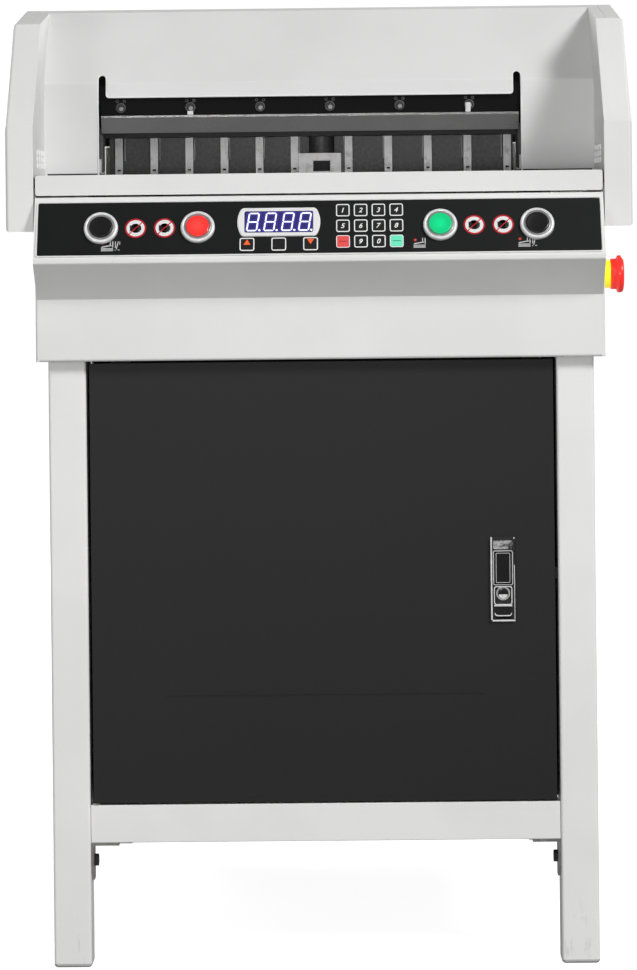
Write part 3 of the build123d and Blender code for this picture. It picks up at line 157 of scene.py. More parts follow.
def roundedOutline(width, height, radius, corner=6):
    # Four quarter circles at the corners of a rectangle, joined in one closed loop.
    radius = max(min(radius, width / 2, height / 2), 1e-3)
    x, y = width / 2 - radius, height / 2 - radius
    return np.concatenate([arcPoints((sx * x, sy * y), radius, start, start + 90, corner)
                           for sx, sy, start in ((1, 1, 0), (-1, 1, 90), (-1, -1, 180), (1, -1, 270))])


def lifted(loop, lift):
    return np.column_stack((loop, np.full(len(loop), lift)))


def slab(centre, width, height, radius, levels, corner=6, closed=True):
    # Rings of the outline, each pulled in by its inset and raised to its lift.
    rings = [lifted(roundedOutline(width - 2 * inset, height - 2 * inset, radius - inset, corner) + centre, lift)
             for inset, lift in levels]
    if closed:
        middle = np.tile(centre, (len(rings[0]), 1))
        rings = [lifted(middle, levels[0][1]), *rings, lifted(middle, levels[-1][1])]
    return np.stack(rings)


def prism(corners, low, high):
    # A flat outline (across, row) made into a thin closed block between two lifts.
    corners = np.asarray(corners, float)
    middle = np.broadcast_to(corners.mean(0), corners.shape)
    return np.stack([lifted(*row) for row in ((middle, low), (corners, low), (corners, high), (middle, high))])


def stroke(start, stop, width, low, high):
    # A straight bar with square ends from start to stop.
    start, stop = np.array(start, float), np.array(stop, float)
    along = unit(stop - start)
    side = np.array((-along[1], along[0])) * width / 2
    return prism((start + side, start - side, stop - side, stop + side), low, high)


def bead(path, radius, sides=12):
    # path + a * side + b * up for each (a, b) of a circle, with a point at each end; up is towards
    # the front, and side is up x tangent, widened at bends.
    path, up = np.asarray(path, float), np.array((0, -1.0, 0))
    circle = arcPoints((0, 0), radius, 0, 360 - 360 / sides, sides)
    ahead, behind = np.roll(path, -1, 0) - path, path - np.roll(path, 1, 0)
    ahead[-1], behind[0] = behind[-1], ahead[0]
    ahead, behind = unit(ahead), unit(behind)
    tangent = unit(ahead + behind)
    widen = 1 / np.clip(np.sum(tangent * ahead, 1, keepdims=True), 0.3, 1)
    side = unit(np.cross(up, tangent)) * widen
    bar = path[:, None] + circle[None, :, :1] * side[:, None] + circle[None, :, 1:] * up
    first, last = [np.broadcast_to(ring.mean(0), ring.shape)[None] for ring in (bar[0], bar[-1])]
    return np.concatenate((first, bar, last))


def upright(rings, depth, way=-1):
    # (across, height, lift) -> (across, depth + way * lift, height); way is -1 towards the front.
    return np.stack((rings[..., 0], depth + way * rings[..., 2], rings[..., 1]), -1)


def between(x0, x1, z0, z1):
    # A slab's centre, width and height from its edges.
    return ((x0 + x1) / 2, (z0 + z1) / 2), x1 - x0, z1 - z0


def frontBar(x0, x1, z0, z1, depth, thick=0.2, corner=0.1):
    # A thin plate standing upright whose front lies thick before the depth.
    levels = [(0, 0), (0, 0.7 * thick), (min(corner, 0.3 * thick), thick)]
    return upright(slab(*between(x0, x1, z0, z1), corner, levels, 4), depth)


def frontRing(x0, x1, z0, z1, depth, wide, thick, corner):
    # A closed frame of the given width round a rectangle, with a rolled front.
    levels = [(0, 0), (0, 0.6 * thick), (0.25 * wide, thick), (0.75 * wide, thick), (wide, 0.6 * thick), (wide, 0)]
    return upright(slab(*between(x0, x1, z0, z1), corner, levels, closed=False), depth)


class Wire:
    # A socket of a shader; sums, products and a number less a wire add Math nodes.
    def __init__(self, finish, socket):
        self.finish, self.socket = finish, socket

    def maths(self, operation, *values):
        return self.finish.node("Math", {"operation": operation}, dict(enumerate(values)))

    def __add__(self, other):
        return self.maths("ADD", self, other)

    def __mul__(self, other):
        return self.maths("MULTIPLY", self, other)

    def __rsub__(self, other):
        return self.maths("SUBTRACT", other, self)

    def step(self, low, high, reach=1.0):
        # 0 below low, reach above high, and smooth between them.
        return self.finish.node("MapRange", {"interpolation_type": "SMOOTHSTEP"},
                                {0: self, 1: low, 2: high, 3: 0.0, 4: reach})


class Finish:
    # One material; its patterns are in metres on the object's own coordinates.
    def __init__(self, name, **shader):
        self.material = bpy.data.materials.new(name)
        self.material.use_nodes = True
        self.tree = self.material.node_tree
        self.shader = self.tree.nodes["Principled BSDF"]
        self.place = self.node("TexCoord", output="Object")
        for socket, value in shader.items():
            self.shader.inputs[socket.replace("_", " ")].default_value = value

    def node(self, kind, settings=None, inputs=None, output=0):
        node = self.tree.nodes.new("ShaderNode" + kind)
        for name, value in (settings or {}).items():
            if name == "stops":
                ramp = node.color_ramp.elements
                while len(ramp) < len(value):
                    ramp.new(0.5)
                for element, (position, colour) in zip(ramp, value):
                    element.position, element.color = position, (*colour, 1)
            else:
                setattr(node, name, value)
        for socket, value in (inputs or {}).items():
            if isinstance(value, Wire):
                self.tree.links.new(value.socket, node.inputs[socket])
            else:
                node.inputs[socket].default_value = value
        return Wire(self, node.outputs[output])

    def noise(self, scale, detail=2, stretch=(1, 1, 1), roughness=0.5):
        place = self.place
        if stretch != (1, 1, 1):
            place = self.node("Mapping", {}, {"Vector": place, "Scale": stretch})
        return self.node("TexNoise", {}, {"Vector": place, "Scale": scale, "Detail": detail, "Roughness": roughness})

    def blend(self, mask, first, second):
        # The first colour where the mask is 0 and the second where it is 1.
        first, second = [colour if isinstance(colour, Wire) else (*colour, 1) for colour in (first, second)]
        return self.node("Mix", {"data_type": "RGBA"}, {0: mask, 6: first, 7: second}, 2)

    def layers(self, tone, *rows):
        # Each row lays a colour over the tone where its mask is 1.
        for mask, colour in rows:
            tone = self.blend(mask, tone, colour)
        return tone

    def toned(self, colour, gain, *rows):
        # The colour times the gain, and in each row's mask the colour times the row's gain.
        return self.layers(lighter(colour, gain), *((mask, lighter(colour, part)) for mask, part in rows))

    def axis(self, number):
        # One coordinate of a point, in metres.
        return self.node("SeparateXYZ", {}, {0: self.place}, number)

    def set(self, socket, value):
        self.tree.links.new(value.socket, self.shader.inputs[socket])
        return self

    def done(self, tone, rough, height, depth, glows=False):
        # Colour, roughness and bump together; what glows shines in its own colour.
        self.set("Base Color", tone).set("Roughness", rough)
        if glows:
            self.set("Emission Color", tone)
        bump = self.node("Bump", {}, {"Height": height, "Distance": depth, "Strength": 1.0})
        return self.set("Normal", bump).material


def shade(value, tint=(1, 1, 1)):
    # An sRGB grey from 0 to 255, made linear and tinted.
    value = value / 255
    linear = value / 12.92 if value <= 0.04045 else ((value + 0.055) / 1.055) ** 2.4
    return tuple(linear * part for part in tint)


def lighter(colour, gain):
    return tuple(min(part * gain, 1) for part in colour)


def powderCoat(name, colour, roughness=0.42, peel=1.0, scuffs=0.0, gloss=0.45):
    # Baked powder: an orange-peel skin 2 mm across, a finer grain, faint clouds and scuffs near the floor.
    finish = Finish(name, Specular_IOR_Level=gloss)
    clouds, grain, skin = finish.noise(7, 3), finish.noise(1400), finish.noise(420)
    tone = finish.toned(colour, 0.975, (clouds.step(0.35, 0.65), 1.02), (grain.step(0.62, 0.8, 0.35), 0.9))
    if scuffs:
        marks = finish.noise(90, 4, (1, 1, 0.25), 0.65).step(0.56, 0.66)
        low = 1 - finish.axis(2).step(0.0, 0.09)
        tone = finish.blend(marks * low * scuffs, tone, lighter(colour, 0.55))
    rough = clouds * 0.05 + grain * 0.06 + (roughness - 0.055)
    return finish.done(tone, rough, skin * 0.75 + grain * 0.25, 0.00009 * peel)


def plastic(name, colour, roughness=0.3, coat=0.0, glow=0.0, grain=900, depth=0.00002, gloss=0.5):
    # Moulded plastic: a fine spark-eroded grain and slow changes of gloss; a glow, where given, is painted light, as
    # no lamp is in the part.
    finish = Finish(name, Specular_IOR_Level=gloss, Coat_Weight=coat, Coat_Roughness=0.06, Emission_Strength=glow)
    fine, slow = finish.noise(grain), finish.noise(35, 3)
    tone = finish.toned(colour, 0.94, (slow.step(0.3, 0.7), 1.05))
    return finish.done(tone, fine * 0.08 + slow * 0.08 + (roughness - 0.08), fine, depth, glow)


def brushedMetal(name, colour, roughness, stretch, scale, metallic=1.0):
    # Ground metal: fine scratches drawn out along the grinding, with slow stains.
    finish = Finish(name, Metallic=metallic)
    lines, slow = finish.noise(scale, 3, stretch, 0.6), finish.noise(22, 4)
    tone = finish.toned(colour, 1, (slow.step(0.35, 0.75, 0.48), 0.72), (lines.step(0.45, 0.75, 0.5), 1.25))
    return finish.done(tone, lines * 0.2 + slow * 0.1 + (roughness - 0.13), lines, 0.00002)


def castIron(name, colour, roughness=0.45, scale=260, depth=0.00012, metallic=0.6, gloss=0.5):
    # Machined and oiled iron: mottled, with dark specks and a slightly uneven skin.
    finish = Finish(name, Metallic=metallic, Specular_IOR_Level=gloss)
    mottle, specks = finish.noise(scale, 4), finish.noise(scale * 4)
    tone = finish.toned(colour, 0.8, (mottle.step(0.35, 0.7), 1.2), (specks.step(0.64, 0.72, 0.6), 0.45))
    return finish.done(tone, mottle * 0.2 + (roughness - 0.1), mottle * 0.7 + specks * 0.3, depth)


def platedSteel(name, colour, roughness=0.32, spangle=160):
    # Zinc or chrome plate: faint crystal patches.
    finish = Finish(name, Metallic=1.0)
    cells = finish.node("TexVoronoi", {}, {"Vector": finish.place, "Scale": spangle}, 1)
    patch, slow = finish.node("SeparateColor", {}, {0: cells}), finish.noise(60, 3)
    tone = finish.toned(colour, 0.82, (patch * 0.5 + slow * 0.5, 1.12))
    return finish.done(tone, patch * 0.1 + slow * 0.12 + (roughness - 0.1), slow, 0.00004)


def printedInk(name, colour, glow=0.0, roughness=0.4):
    # Screen print: a thin even layer with a faint mesh grain; a glow makes it shine by itself, the display's own light
    # in the lit digits and a painted glow on any other print.
    finish = Finish(name, Specular_IOR_Level=0.4, Emission_Strength=glow)
    grain = finish.noise(2400, 1)
    tone = finish.toned(colour, 1, (grain.step(0.4, 0.7, 0.6), 0.86))
    return finish.done(tone, grain * 0.1 + (roughness - 0.05), grain, 0.00001, glow)


def satinSteel(name, colour, metallic=0.3, roughness=0.4, stretch=(1, 1, 0.06), scale=900, specks=0.5):
    # Machined steel with a soft sheen: fine tool lines, slow stains and small dark pits.
    finish = Finish(name, Metallic=metallic)
    lines, slow, pits = finish.noise(scale, 3, stretch, 0.6), finish.noise(70, 4), finish.noise(650)
    tone = finish.toned(colour, 1.04, (slow.step(0.35, 0.7), 0.84), (lines.step(0.5, 0.8, 0.4), 1.2),
                        (pits.step(0.66, 0.72, specks), 0.4))
    return finish.done(tone, lines * 0.15 + slow * 0.1 + (roughness - 0.12), lines, 0.00002)


bodyTone = shade(240, (1, 0.996, 0.99))
# Each slot's finish: its maker, its colour and the maker's other values in their order.
finishRows = {
    # The stand, body and hood take one white powder in three shades: the stand's lighter copy and the hood's darker
    # copy are painted light and shade, set to how brightly each part is lit.
    "stand_paint": (powderCoat, shade(247, (1, 0.995, 0.988)), 0.45, 1.0, 0.35),
    "body_paint": (powderCoat, bodyTone, 0.42),
    "hood_paint": (powderCoat, shade(234, (1, 0.996, 0.994)), 0.4),
    "cheek_paint": (powderCoat, bodyTone, 0.45),
    "cabinet_black": (powderCoat, shade(30), 0.55, 1.2, 0.0, 0.35),
    "motor_paint": (powderCoat, shade(70), 0.4, 1.5),
    "cap_plastic": (plastic, shade(190), 0.5),
    "black_plastic": (plastic, shade(14), 0.3, 0.2),
    # red_plastic and yellow_plastic end with a glow (0.35 and 0.5): a painted glow, as no lamp is in them.
    "red_plastic": (plastic, (0.95, 0.03, 0.02), 0.3, 0.4, 0.35),
    "green_plastic": (plastic, (0.02, 0.62, 0.25), 0.3, 0.4),
    "yellow_plastic": (plastic, (1.0, 0.93, 0.03), 0.35, 0.2, 0.5),
    "key_plastic": (plastic, shade(24), 0.35),
    "bezel_plastic": (plastic, shade(238), 0.35),
    "lens_plastic": (plastic, shade(238), 0.25, 0.3),
    "stick_plastic": (plastic, shade(205, (1, 0.3, 0.2)), 0.4),
    "window_glass": (plastic, (0.008, 0.008, 0.03), 0.12, 0.6),
    "panel_black": (plastic, shade(12, (0.9, 1, 1.15)), 0.5, 0.0, 0.0, 1500, 0.00001, 0.3),
    "zinc_steel": (platedSteel, shade(190, (1, 0.99, 0.95))),
    "dark_steel": (castIron, shade(52), 0.45, 400, 0.00003, 0.4),
    "latch_chrome": (platedSteel, shade(96), 0.2, 400),
    "table_iron": (brushedMetal, shade(165), 0.5, (0.03, 1, 1), 1800, 0.25),
    "frame_iron": (castIron, shade(74), 0.5),
    "clamp_iron": (castIron, shade(26), 0.5, 220, 0.00012, 0.2),
    "knife_black": (castIron, shade(5), 0.6, 500, 0.00004, 0.0, 0.15),
    "blade_steel": (brushedMetal, shade(188), 0.28, (1, 1, 0.03), 2400),
    "gauge_alloy": (castIron, shade(100), 0.45, 260, 0.00006, 0.3),
}
finishes = {name: maker(name, *values) for name, (maker, *values) in finishRows.items()}
darker = {"latch_bolt": "dark_steel"}  # pieces whose own finish differs from their slot's
for name, thing in nodes.items():
    for row in thing.material_slots:
        row.material = finishes[darker.get(name, slotOf[name])]
print("finishes:", len(finishes))

camera = {"height": 0.803, "across": 0.0307, "back": 3.5, "lens": 123.1, "yaw": 0.51, "roll": -0.613,
          "shiftUp": -0.2835}
eye = linked("eye", bpy.data.cameras.new("eye"))
eye.data.lens, eye.data.shift_y = camera["lens"], camera["shiftUp"]
eye.data.clip_start, eye.data.clip_end = 0.05, 60
turn = Matrix.Rotation(radians(camera["yaw"]), 4, "Z") @ Matrix.Rotation(radians(90), 4, "X")
turn = turn @ Matrix.Rotation(radians(camera["roll"]), 4, "Z")
spot = (camera["across"], -camera["back"] - middleDepth * mm, camera["height"])
eye.matrix_world = Matrix.Translation(spot) @ turn
bpy.context.scene.camera = eye
print("camera set")

# Push buttons: a dished chrome ring with a fine inner lip, and a cap in each; the ring's face is a near-white copy of
# its steel and the lip a darker copy: painted light and shade.
buttons = {"row": 30.3, "outer": 229, "inner": 127.3}
outerRing = [(-24.8, 8.3), (-24.8, 11), (-6.8, 11), (-6.8, 15), (-2.8, 15), (-2.8, 11), (-0.8, 11), (-0.8, 12.8),
             (0, 12.8), (0, 17.7), (0.5, 18), (2.6, 18), (3.7, 17.7), (4.5, 17.1), (4.95, 16.3), (5, 15.6),
             (4.8, 14.9), (4.4, 14.6)]
innerRing = [(4.4, 14.6), (4.0, 14.3), (4.0, 14.0), (4.5, 13.9), (4.6, 13.7), (4.6, 13.35), (4.3, 13.2), (4.3, 13.0),
             (4.7, 12.9), (4.75, 12.6), (4.5, 12.35), (0, 12.3), (0, 8.3), (-24.8, 8.3)]
rings = printed("button_rings")
for x in (-buttons["outer"], -buttons["inner"], buttons["inner"], buttons["outer"]):
    for number, profile in enumerate((outerRing, innerRing)):
        rings.surface(lathe(profile, (x, buttons["row"], 0), turns=64), number)
rings.build(satinSteel("ring_painted_lit", shade(250), 0.2, 0.3, (1, 1, 1), 1400, 0.1),
            satinSteel("ring_lip_painted_shade", shade(176), 0.5, 0.3, (1, 1, 1), 1400, 0.2), slot="latch_chrome",
            replaces=("button_bezels",))


def capLens(name, centre, colour, gain, glow):
    # Coloured lens, lighter in the middle where the lamp stands behind it.
    finish = Finish(name, Coat_Weight=0.5, Coat_Roughness=0.05, Emission_Strength=glow)
    spread = finish.node("VectorMath", {"operation": "DISTANCE"}, {0: finish.place, 1: centre}, 1)
    grain = finish.noise(1800)
    tone = finish.toned(colour, gain, (spread.step(0.0005, 0.0105), 1), (grain.step(0.5, 0.8, 0.2), 0.7))
    return finish.done(tone, grain * 0.08 + 0.16, grain, 0.00001, True)


capProfile = [(-27.8, 0), (-27.8, 10), (-24.8, 10), (-24.8, 8), (3.6, 8), (3.6, 11.7), (3.8, 12), (5.3, 12),
              (5.75, 11.85), (6.05, 11.5), (6.2, 11), (6.15, 10.3), (5.95, 9), (5.8, 7), (5.7, 4), (5.66, 0)]
# Body, CAD piece, place, slot, and a lens's colour, gain in the middle and glow.
capRows = [("cut_left", "cut_button_left", -buttons["outer"], "black_plastic", None),
           ("power", "power_button", -buttons["inner"], "red_plastic", ((0.86, 0.03, 0.025), 1.9, 0.35)),
           ("reset", "reset_button", buttons["inner"], "green_plastic", ((0.0, 0.56, 0.2), 1.25, 0.3)),
           ("cut_right", "cut_button_right", buttons["outer"], "black_plastic", None)]
for body, node, x, slotName, lens in capRows:
    finish = finishes[slotName]
    if lens:
        finish = capLens(node + "_lens", tuple(placePanel((x, buttons["row"], 6))), *lens)
    cap = printed(node + "_cap").surface(lathe(capProfile, (x, buttons["row"], 0), turns=64))
    cap.build(finish, slot=slotName, body=body, replaces=(node,))
print("buttons made")

# Folded lip of the console round the panel film.
lip = {"half": 295.5, "rows": 60.6, "gap": 0.5, "wide": 1.5, "high": 0.5, "corner": 3}
lipLevels = [(0, -0.8), (0, 0.2), (0.4, lip["high"]), (lip["wide"] - 0.4, lip["high"]), (lip["wide"], 0.2),
             (lip["wide"], -0.8)]
reach = lip["gap"] + lip["wide"]
fold = slab((0, lip["rows"] / 2), 2 * (lip["half"] + reach), lip["rows"] + 2 * reach, lip["corner"], lipLevels,
            closed=False)
frameLip = printed("panel_lip").surface(fold, closeRows=True)
frameLip.build(slot="body_paint")

# Display: a frame with bulged ends, lit segments and the blue light that they throw round them.
display = {"across": -42.2, "row": 24.8, "width": 87.4, "height": 33, "bulge": 4.6, "corner": 2.6, "ease": 3,
           "window": (72, 24.5), "digits": (-69.3, -51.2, -32.6, -14.7), "digitRow": 25.0, "tall": 20.0,
           "wide": 10.2, "stroke": 1.5, "slant": 0.16, "gap": 0.35, "lit": (1.78, 1.86), "dot": (1.6, -0.3, 1.15),
           "sheet": 1.74, "margin": 0.3, "columns": 190, "lines": 66, "fade": 7.0}
middle = np.array((display["across"], display["row"]))


def resample(loop, count):
    # Points at equal steps along a closed outline.
    closed = np.concatenate((loop, loop[:1]))
    along = np.concatenate(([0], np.cumsum(np.linalg.norm(np.diff(closed, axis=0), axis=1))))
    places = np.linspace(0, along[-1], count, endpoint=False)
    return np.stack([np.interp(places, along, closed[:, axis]) for axis in (0, 1)], -1)


def frameOutline(inset):
    # A rectangle whose short sides swell by bulge * (1 - (y / half)^2).
    half, ease = display["height"] / 2 - inset, display["ease"]
    width = display["width"] - 2 * display["bulge"] - 2 * inset
    loop = resample(roundedOutline(width, 2 * half, display["corner"], 8), 240)
    swell = display["bulge"] * (1 - (loop[:, 1] / half) ** 2)
    side = np.clip((np.abs(loop[:, 0]) - width / 2 + ease) / ease, 0, 1)
    loop[:, 0] += np.sign(loop[:, 0]) * swell * side
    return loop + middle


def windowOutline(grow):
    width, height = display["window"]
    return resample(roundedOutline(width + 2 * grow, height + 2 * grow, 2 + grow, 8), 240) + middle


outside = ((0, 0), (0, 1.1), (0.25, 1.65), (0.8, 1.95), (1.4, 2.0))
inside = ((1.0, 2.0), (0.5, 1.92), (0.15, 1.6), (0.1, 0.1), (0.1, 0))
levels = [lifted(outline(reach), lift) for outline, rows in ((frameOutline, outside), (windowOutline, inside))
          for reach, lift in rows]
bezel = printed("display_frame", 45).surface(np.stack(levels), closeRows=True)
bezel.surface(slab(middle, 76, 26.5, 1, [(0, -8.8), (0, 0.2)]))
bezel.build(slot="bezel_plastic", replaces=("display_bezel",))


def segmentLines(centre):
    # Centre lines of the seven bars of an eight, leaning by slant, as start and stop points.
    w, h, lean, row = display["wide"] / 2, display["tall"] / 2, display["slant"], display["digitRow"]
    spots = {"tl": (-w, -h), "tr": (w, -h), "ml": (-w, 0), "mr": (w, 0), "bl": (-w, h), "br": (w, h)}
    spots = {key: np.array((centre + x - y * lean, row + y)) for key, (x, y) in spots.items()}
    pairs = ("tl tr", "ml mr", "bl br", "tl ml", "ml bl", "tr mr", "mr br")
    return [tuple(spots[key] for key in pair.split()) for pair in pairs]


def barPrism(start, stop, width, low, high):
    # A bar with pointed ends, each pulled back by the gap.
    along = unit(stop - start)
    side = np.array((-along[1], along[0])) * width / 2
    start, stop = start + along * display["gap"], stop - along * display["gap"]
    near, far = start + along * width / 2, stop - along * width / 2
    return prism((start, near + side, far + side, stop, far - side, near - side), low, high)


digits = printed("lit_digits", 30)
lines = []
onward, rise, radius = display["dot"]
for centre in display["digits"]:
    bars = segmentLines(centre)
    for start, stop in bars:
        digits.surface(barPrism(start, stop, display["stroke"], *display["lit"]))
    dot = np.array((centre + display["wide"] / 2 + onward, display["digitRow"] + display["tall"] / 2 + rise))
    digits.surface(prism(arcPoints(dot, radius, 0, 337.5, 16), *display["lit"]))
    lines += [*bars, (dot, dot + (0.01, 0))]
digitLight = printedInk("digit_light", shade(238, (0.94, 0.96, 1.0)), 0.9, 0.3)
digits.build(digitLight, slot="window_glass")

# The glow is stored at each point of a fine sheet as its distance from the nearest lit bar.
spans = [size / 2 - display["margin"] for size in display["window"]]
u, v = np.meshgrid(np.linspace(-spans[0], spans[0], display["columns"]),
                   np.linspace(-spans[1], spans[1], display["lines"]), indexing="xy")
flat = np.stack((u, v), -1) + middle
nearest = np.full(u.shape, 99.0)
for start, stop in lines:
    along = stop - start
    share = np.clip(((flat - start) @ along) / (along @ along), 0, 1)
    nearest = np.minimum(nearest, np.linalg.norm(flat - start - share[..., None] * along, axis=-1))
sheet = printed("display_glow", 60)
sheet.surface(np.dstack((flat, np.full(u.shape, display["sheet"]))), closeColumns=False)
glow = Finish("display_light", Coat_Weight=0.5, Coat_Roughness=0.08, Emission_Strength=0.9)
near, film = glow.node("Attribute", {"attribute_name": "glow"}, output=2), glow.noise(600)
ramp = glow.node("ValToRGB", {"stops": [
    (0.0, (0.3, 0.3, 0.9)), (0.09, (0.06, 0.05, 0.42)), (0.3, (0.024, 0.02, 0.24)),
    (0.62, (0.012, 0.01, 0.11)), (0.85, (0.005, 0.005, 0.02))]}, {0: near})
glow.set("Base Color", glow.blend(film * 0.4, (0.01, 0.01, 0.03), (0.03, 0.03, 0.05)))
glow.set("Emission Color", ramp).set("Roughness", film * 0.1 + 0.2)
glowSheet = sheet.build(glow.material, slot="window_glass")
field = glowSheet.data.attributes.new("glow", "FLOAT", "POINT")
field.data.foreach_set("value", np.clip(nearest / display["fade"], 0, 1).ravel())
print("display made")

# Keys: printed frames, numbers, arrows and two coloured keys.
keys = {"first": (25.2, 11.6), "pitch": (18.73, 18.25), "size": (14.6, 14.7), "small": (15.8, 15.4),
        "smallRow": 50.3, "smallPitch": 33.3, "line": 1.15, "corner": 2.4, "fill": (12.6, 12.7, 1.2),
        "fillLevels": [(0, 0.46), (0, 0.62), (0.2, 0.64)], "rule": ((-4.2, -0.2), (4.2, -0.2), 0.7, 0.63, 0.68),
        "arrow": (3.7, 3.1, 2.6), "number": (7.6, 0.28, 0.022, 0.04, 0.58)}
keyCentres = [(keys["first"][0] + column * keys["pitch"][0], keys["first"][1] + row * keys["pitch"][1])
              for row in range(3) for column in range(4)]
smallCentres = [(display["across"] + step * keys["smallPitch"], keys["smallRow"]) for step in (-1, 0, 1)]
ringLevels = [(0.15, 0.46), (0.15, 0.6), (0.15 + keys["line"], 0.6), (0.15 + keys["line"], 0.46)]
keyFrames = printed("key_lines")
for centres, size in ((keyCentres, keys["size"]), (smallCentres, keys["small"])):
    for centre in centres:
        keyFrames.surface(slab(centre, *size, keys["corner"], ringLevels, 5, False), closeRows=True)
# The frame lines glow a little (0.1): a painted glow.
keyFrames.build(printedInk("key_line", shade(238), 0.1), slot="key_plastic")

# Both fills glow a little (0.1): a painted glow.
redFill, mintFill = printedInk("red_key", (0.80, 0.09, 0.085), 0.1), printedInk("mint_key", (0.16, 0.83, 0.55), 0.1)
fills, marks = printed("coloured_keys"), printed("key_rules")
start, stop, *rule = keys["rule"]
for number, centre in enumerate((keyCentres[8], keyCentres[11])):
    fills.surface(slab(centre, *keys["fill"], keys["fillLevels"], 5), number)
    marks.surface(stroke(np.add(centre, start), np.add(centre, stop), *rule), number)
fills.build(redFill, mintFill, slot="key_plastic")
marks.build(printedInk("red_rule", (0.3, 0.01, 0.012)), printedInk("green_rule", (0.01, 0.2, 0.12)),
            slot="key_plastic")
arrows = printed("key_arrows")
wide, high, rise = keys["arrow"]
for (x, row), way in ((smallCentres[0], -1), (smallCentres[2], 1)):
    base, tip = row - rise - way * high, row - rise + way * high
    arrows.surface(prism([(x - wide, base), (x + wide, base), (x, tip)], 0.5, 0.6))
# The arrows glow a little (0.15): a painted glow.
arrows.build(printedInk("orange_ink", (0.95, 0.13, 0.03), 0.15), slot="key_plastic")


def numberMesh(text, centre):
    # The flat shape of a number, as points (across, row, lift) and faces.
    size, shear, bold, thick, lift = keys["number"]
    curve = bpy.data.curves.new("number", "FONT")
    curve.body, curve.size, curve.shear, curve.offset, curve.extrude = text, size, shear, size * bold, thick
    curve.align_x, curve.align_y = "CENTER", "CENTER"
    holder = bpy.data.objects.new("number", curve)
    flatMesh = bpy.data.meshes.new_from_object(holder)
    points = np.zeros(len(flatMesh.vertices) * 3)
    flatMesh.vertices.foreach_get("co", points)
    points = points.reshape(-1, 3)
    points = (points - (points.min(0) + points.max(0)) / 2) * (1, -1, 1) + (*centre, lift)
    faces = [tuple(face.vertices)[::-1] for face in flatMesh.polygons]
    bpy.data.objects.remove(holder)
    return points, faces


numberPoints, numberFaces, count = [], [], 0
for text, centre in zip("12345678 90 ", keyCentres):
    if text.strip():
        points, faces = numberMesh(text, centre)
        numberPoints.append(placePanel(points))
        numberFaces += [tuple(corner + count for corner in face) for face in faces]
        count += len(points)
mesh = bpy.data.meshes.new("key_numbers")
mesh.from_pydata(np.concatenate(numberPoints).tolist(), [], numberFaces)
# The numbers glow a little (0.12): a painted glow.
mesh.materials.append(printedInk("number_ink", shade(236), 0.12))
numbers = linked("key_numbers", mesh)
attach(numbers, "stand")
print("keys printed")

# Round signs: a white disc in a red ring with one slanting bar over plain dark marks.
signs = {"places": (-192.7, -162.2, 163, 193.4), "row": 30.0, "disc": 10.8, "bar": (6.84, 1.1, 0.1, 0.17),
         "band": ((11.2, 0.02), (11.2, 0.16), (9.5, 0.16), (9.5, 0.02)),
         "uprights": ((-5.2, 3.4, 1.6), (-3.0, 2.2, 1.0), (3.4, 4.4, 2.4), (5.4, 2.6, 1.0)), "rows": (-1.2, 2.6)}
signWhite, signRed = printedInk("sign_white", shade(240)), printedInk("sign_red", (0.55, 0.012, 0.022))
plates = printed("round_signs")
for x in signs["places"]:
    spot = np.array((x, signs["row"]))
    plates.surface(prism(arcPoints(spot, signs["disc"], 0, 352.5, 48), 0.0, 0.1))
    circles = [lifted(arcPoints(spot, radius, 0, 352.5, 48), lift) for radius, lift in signs["band"]]
    plates.surface(np.stack(circles), 1, True)
    reach, *bar = signs["bar"]
    plates.surface(stroke(spot + (reach, -reach), spot + (-reach, reach), *bar), 1)
    for step, long, wide in signs["uprights"]:
        plates.surface(stroke(spot + (step, long), spot + (step, -long), wide, 0.09, 0.14), 2)
    for row in signs["rows"]:
        plates.surface(stroke(spot + (-4.6, row), spot + (4.2, row + 0.4), 0.6, 0.09, 0.13), 2)
plates.build(signWhite, signRed, printedInk("sign_dark", shade(42)), slot="panel_black")

# Small drawings of the clamp on a stack of sheets, with the knife beside two of them.
drawings = {"spots": ((-221.5, 50.6, True), (105.9, 50.4, False), (215.6, 50.4, True)), "lift": (0.0, 0.07),
            "dot": (-5.2, -3.4, 1.5),
            "clamp": [((-7.0, 2.6), (5.6, 2.6), 0.8), ((-7.0, 3.9), (5.6, 3.9), 0.8), ((-7.0, 5.2), (5.6, 5.2), 0.8),
                      ((-6.6, 1.1), (1.6, -0.6), 1.2), ((1.6, -0.4), (4.0, -0.9), 1.0),
                      ((2.6, -0.6), (2.6, -5.6), 0.9), ((5.2, 1.4), (5.2, -5.6), 1.0)],
            "knife": [((8.0, -5.4), (8.0, 2.0), 0.8), ((11.0, -5.4), (9.0, 3.4), 0.9), ((7.4, 4.6), (8.2, 4.6), 0.9),
                      ((12.6, -5.4), (12.6, -1.8), 0.6), ((10.6, 4.4), (12.4, 4.4), 0.8)]}
art = printed("panel_drawings")
onward, down, radius = drawings["dot"]
for x, row, withKnife in drawings["spots"]:
    for start, stop, wide in drawings["clamp"] + drawings["knife"] * withKnife:
        art.surface(stroke(np.add(start, (x, row)), np.add(stop, (x, row)), wide, *drawings["lift"]))
    art.surface(prism(arcPoints((x + onward, row + down), radius, 0, 337.5, 16), *drawings["lift"]), 1)
# The red dots glow a little (0.1): a painted glow.
art.build(printedInk("drawing_ink", shade(214)), printedInk("drawing_red", (0.62, 0.06, 0.03), 0.1),
          slot="panel_black")
print("panel printed")

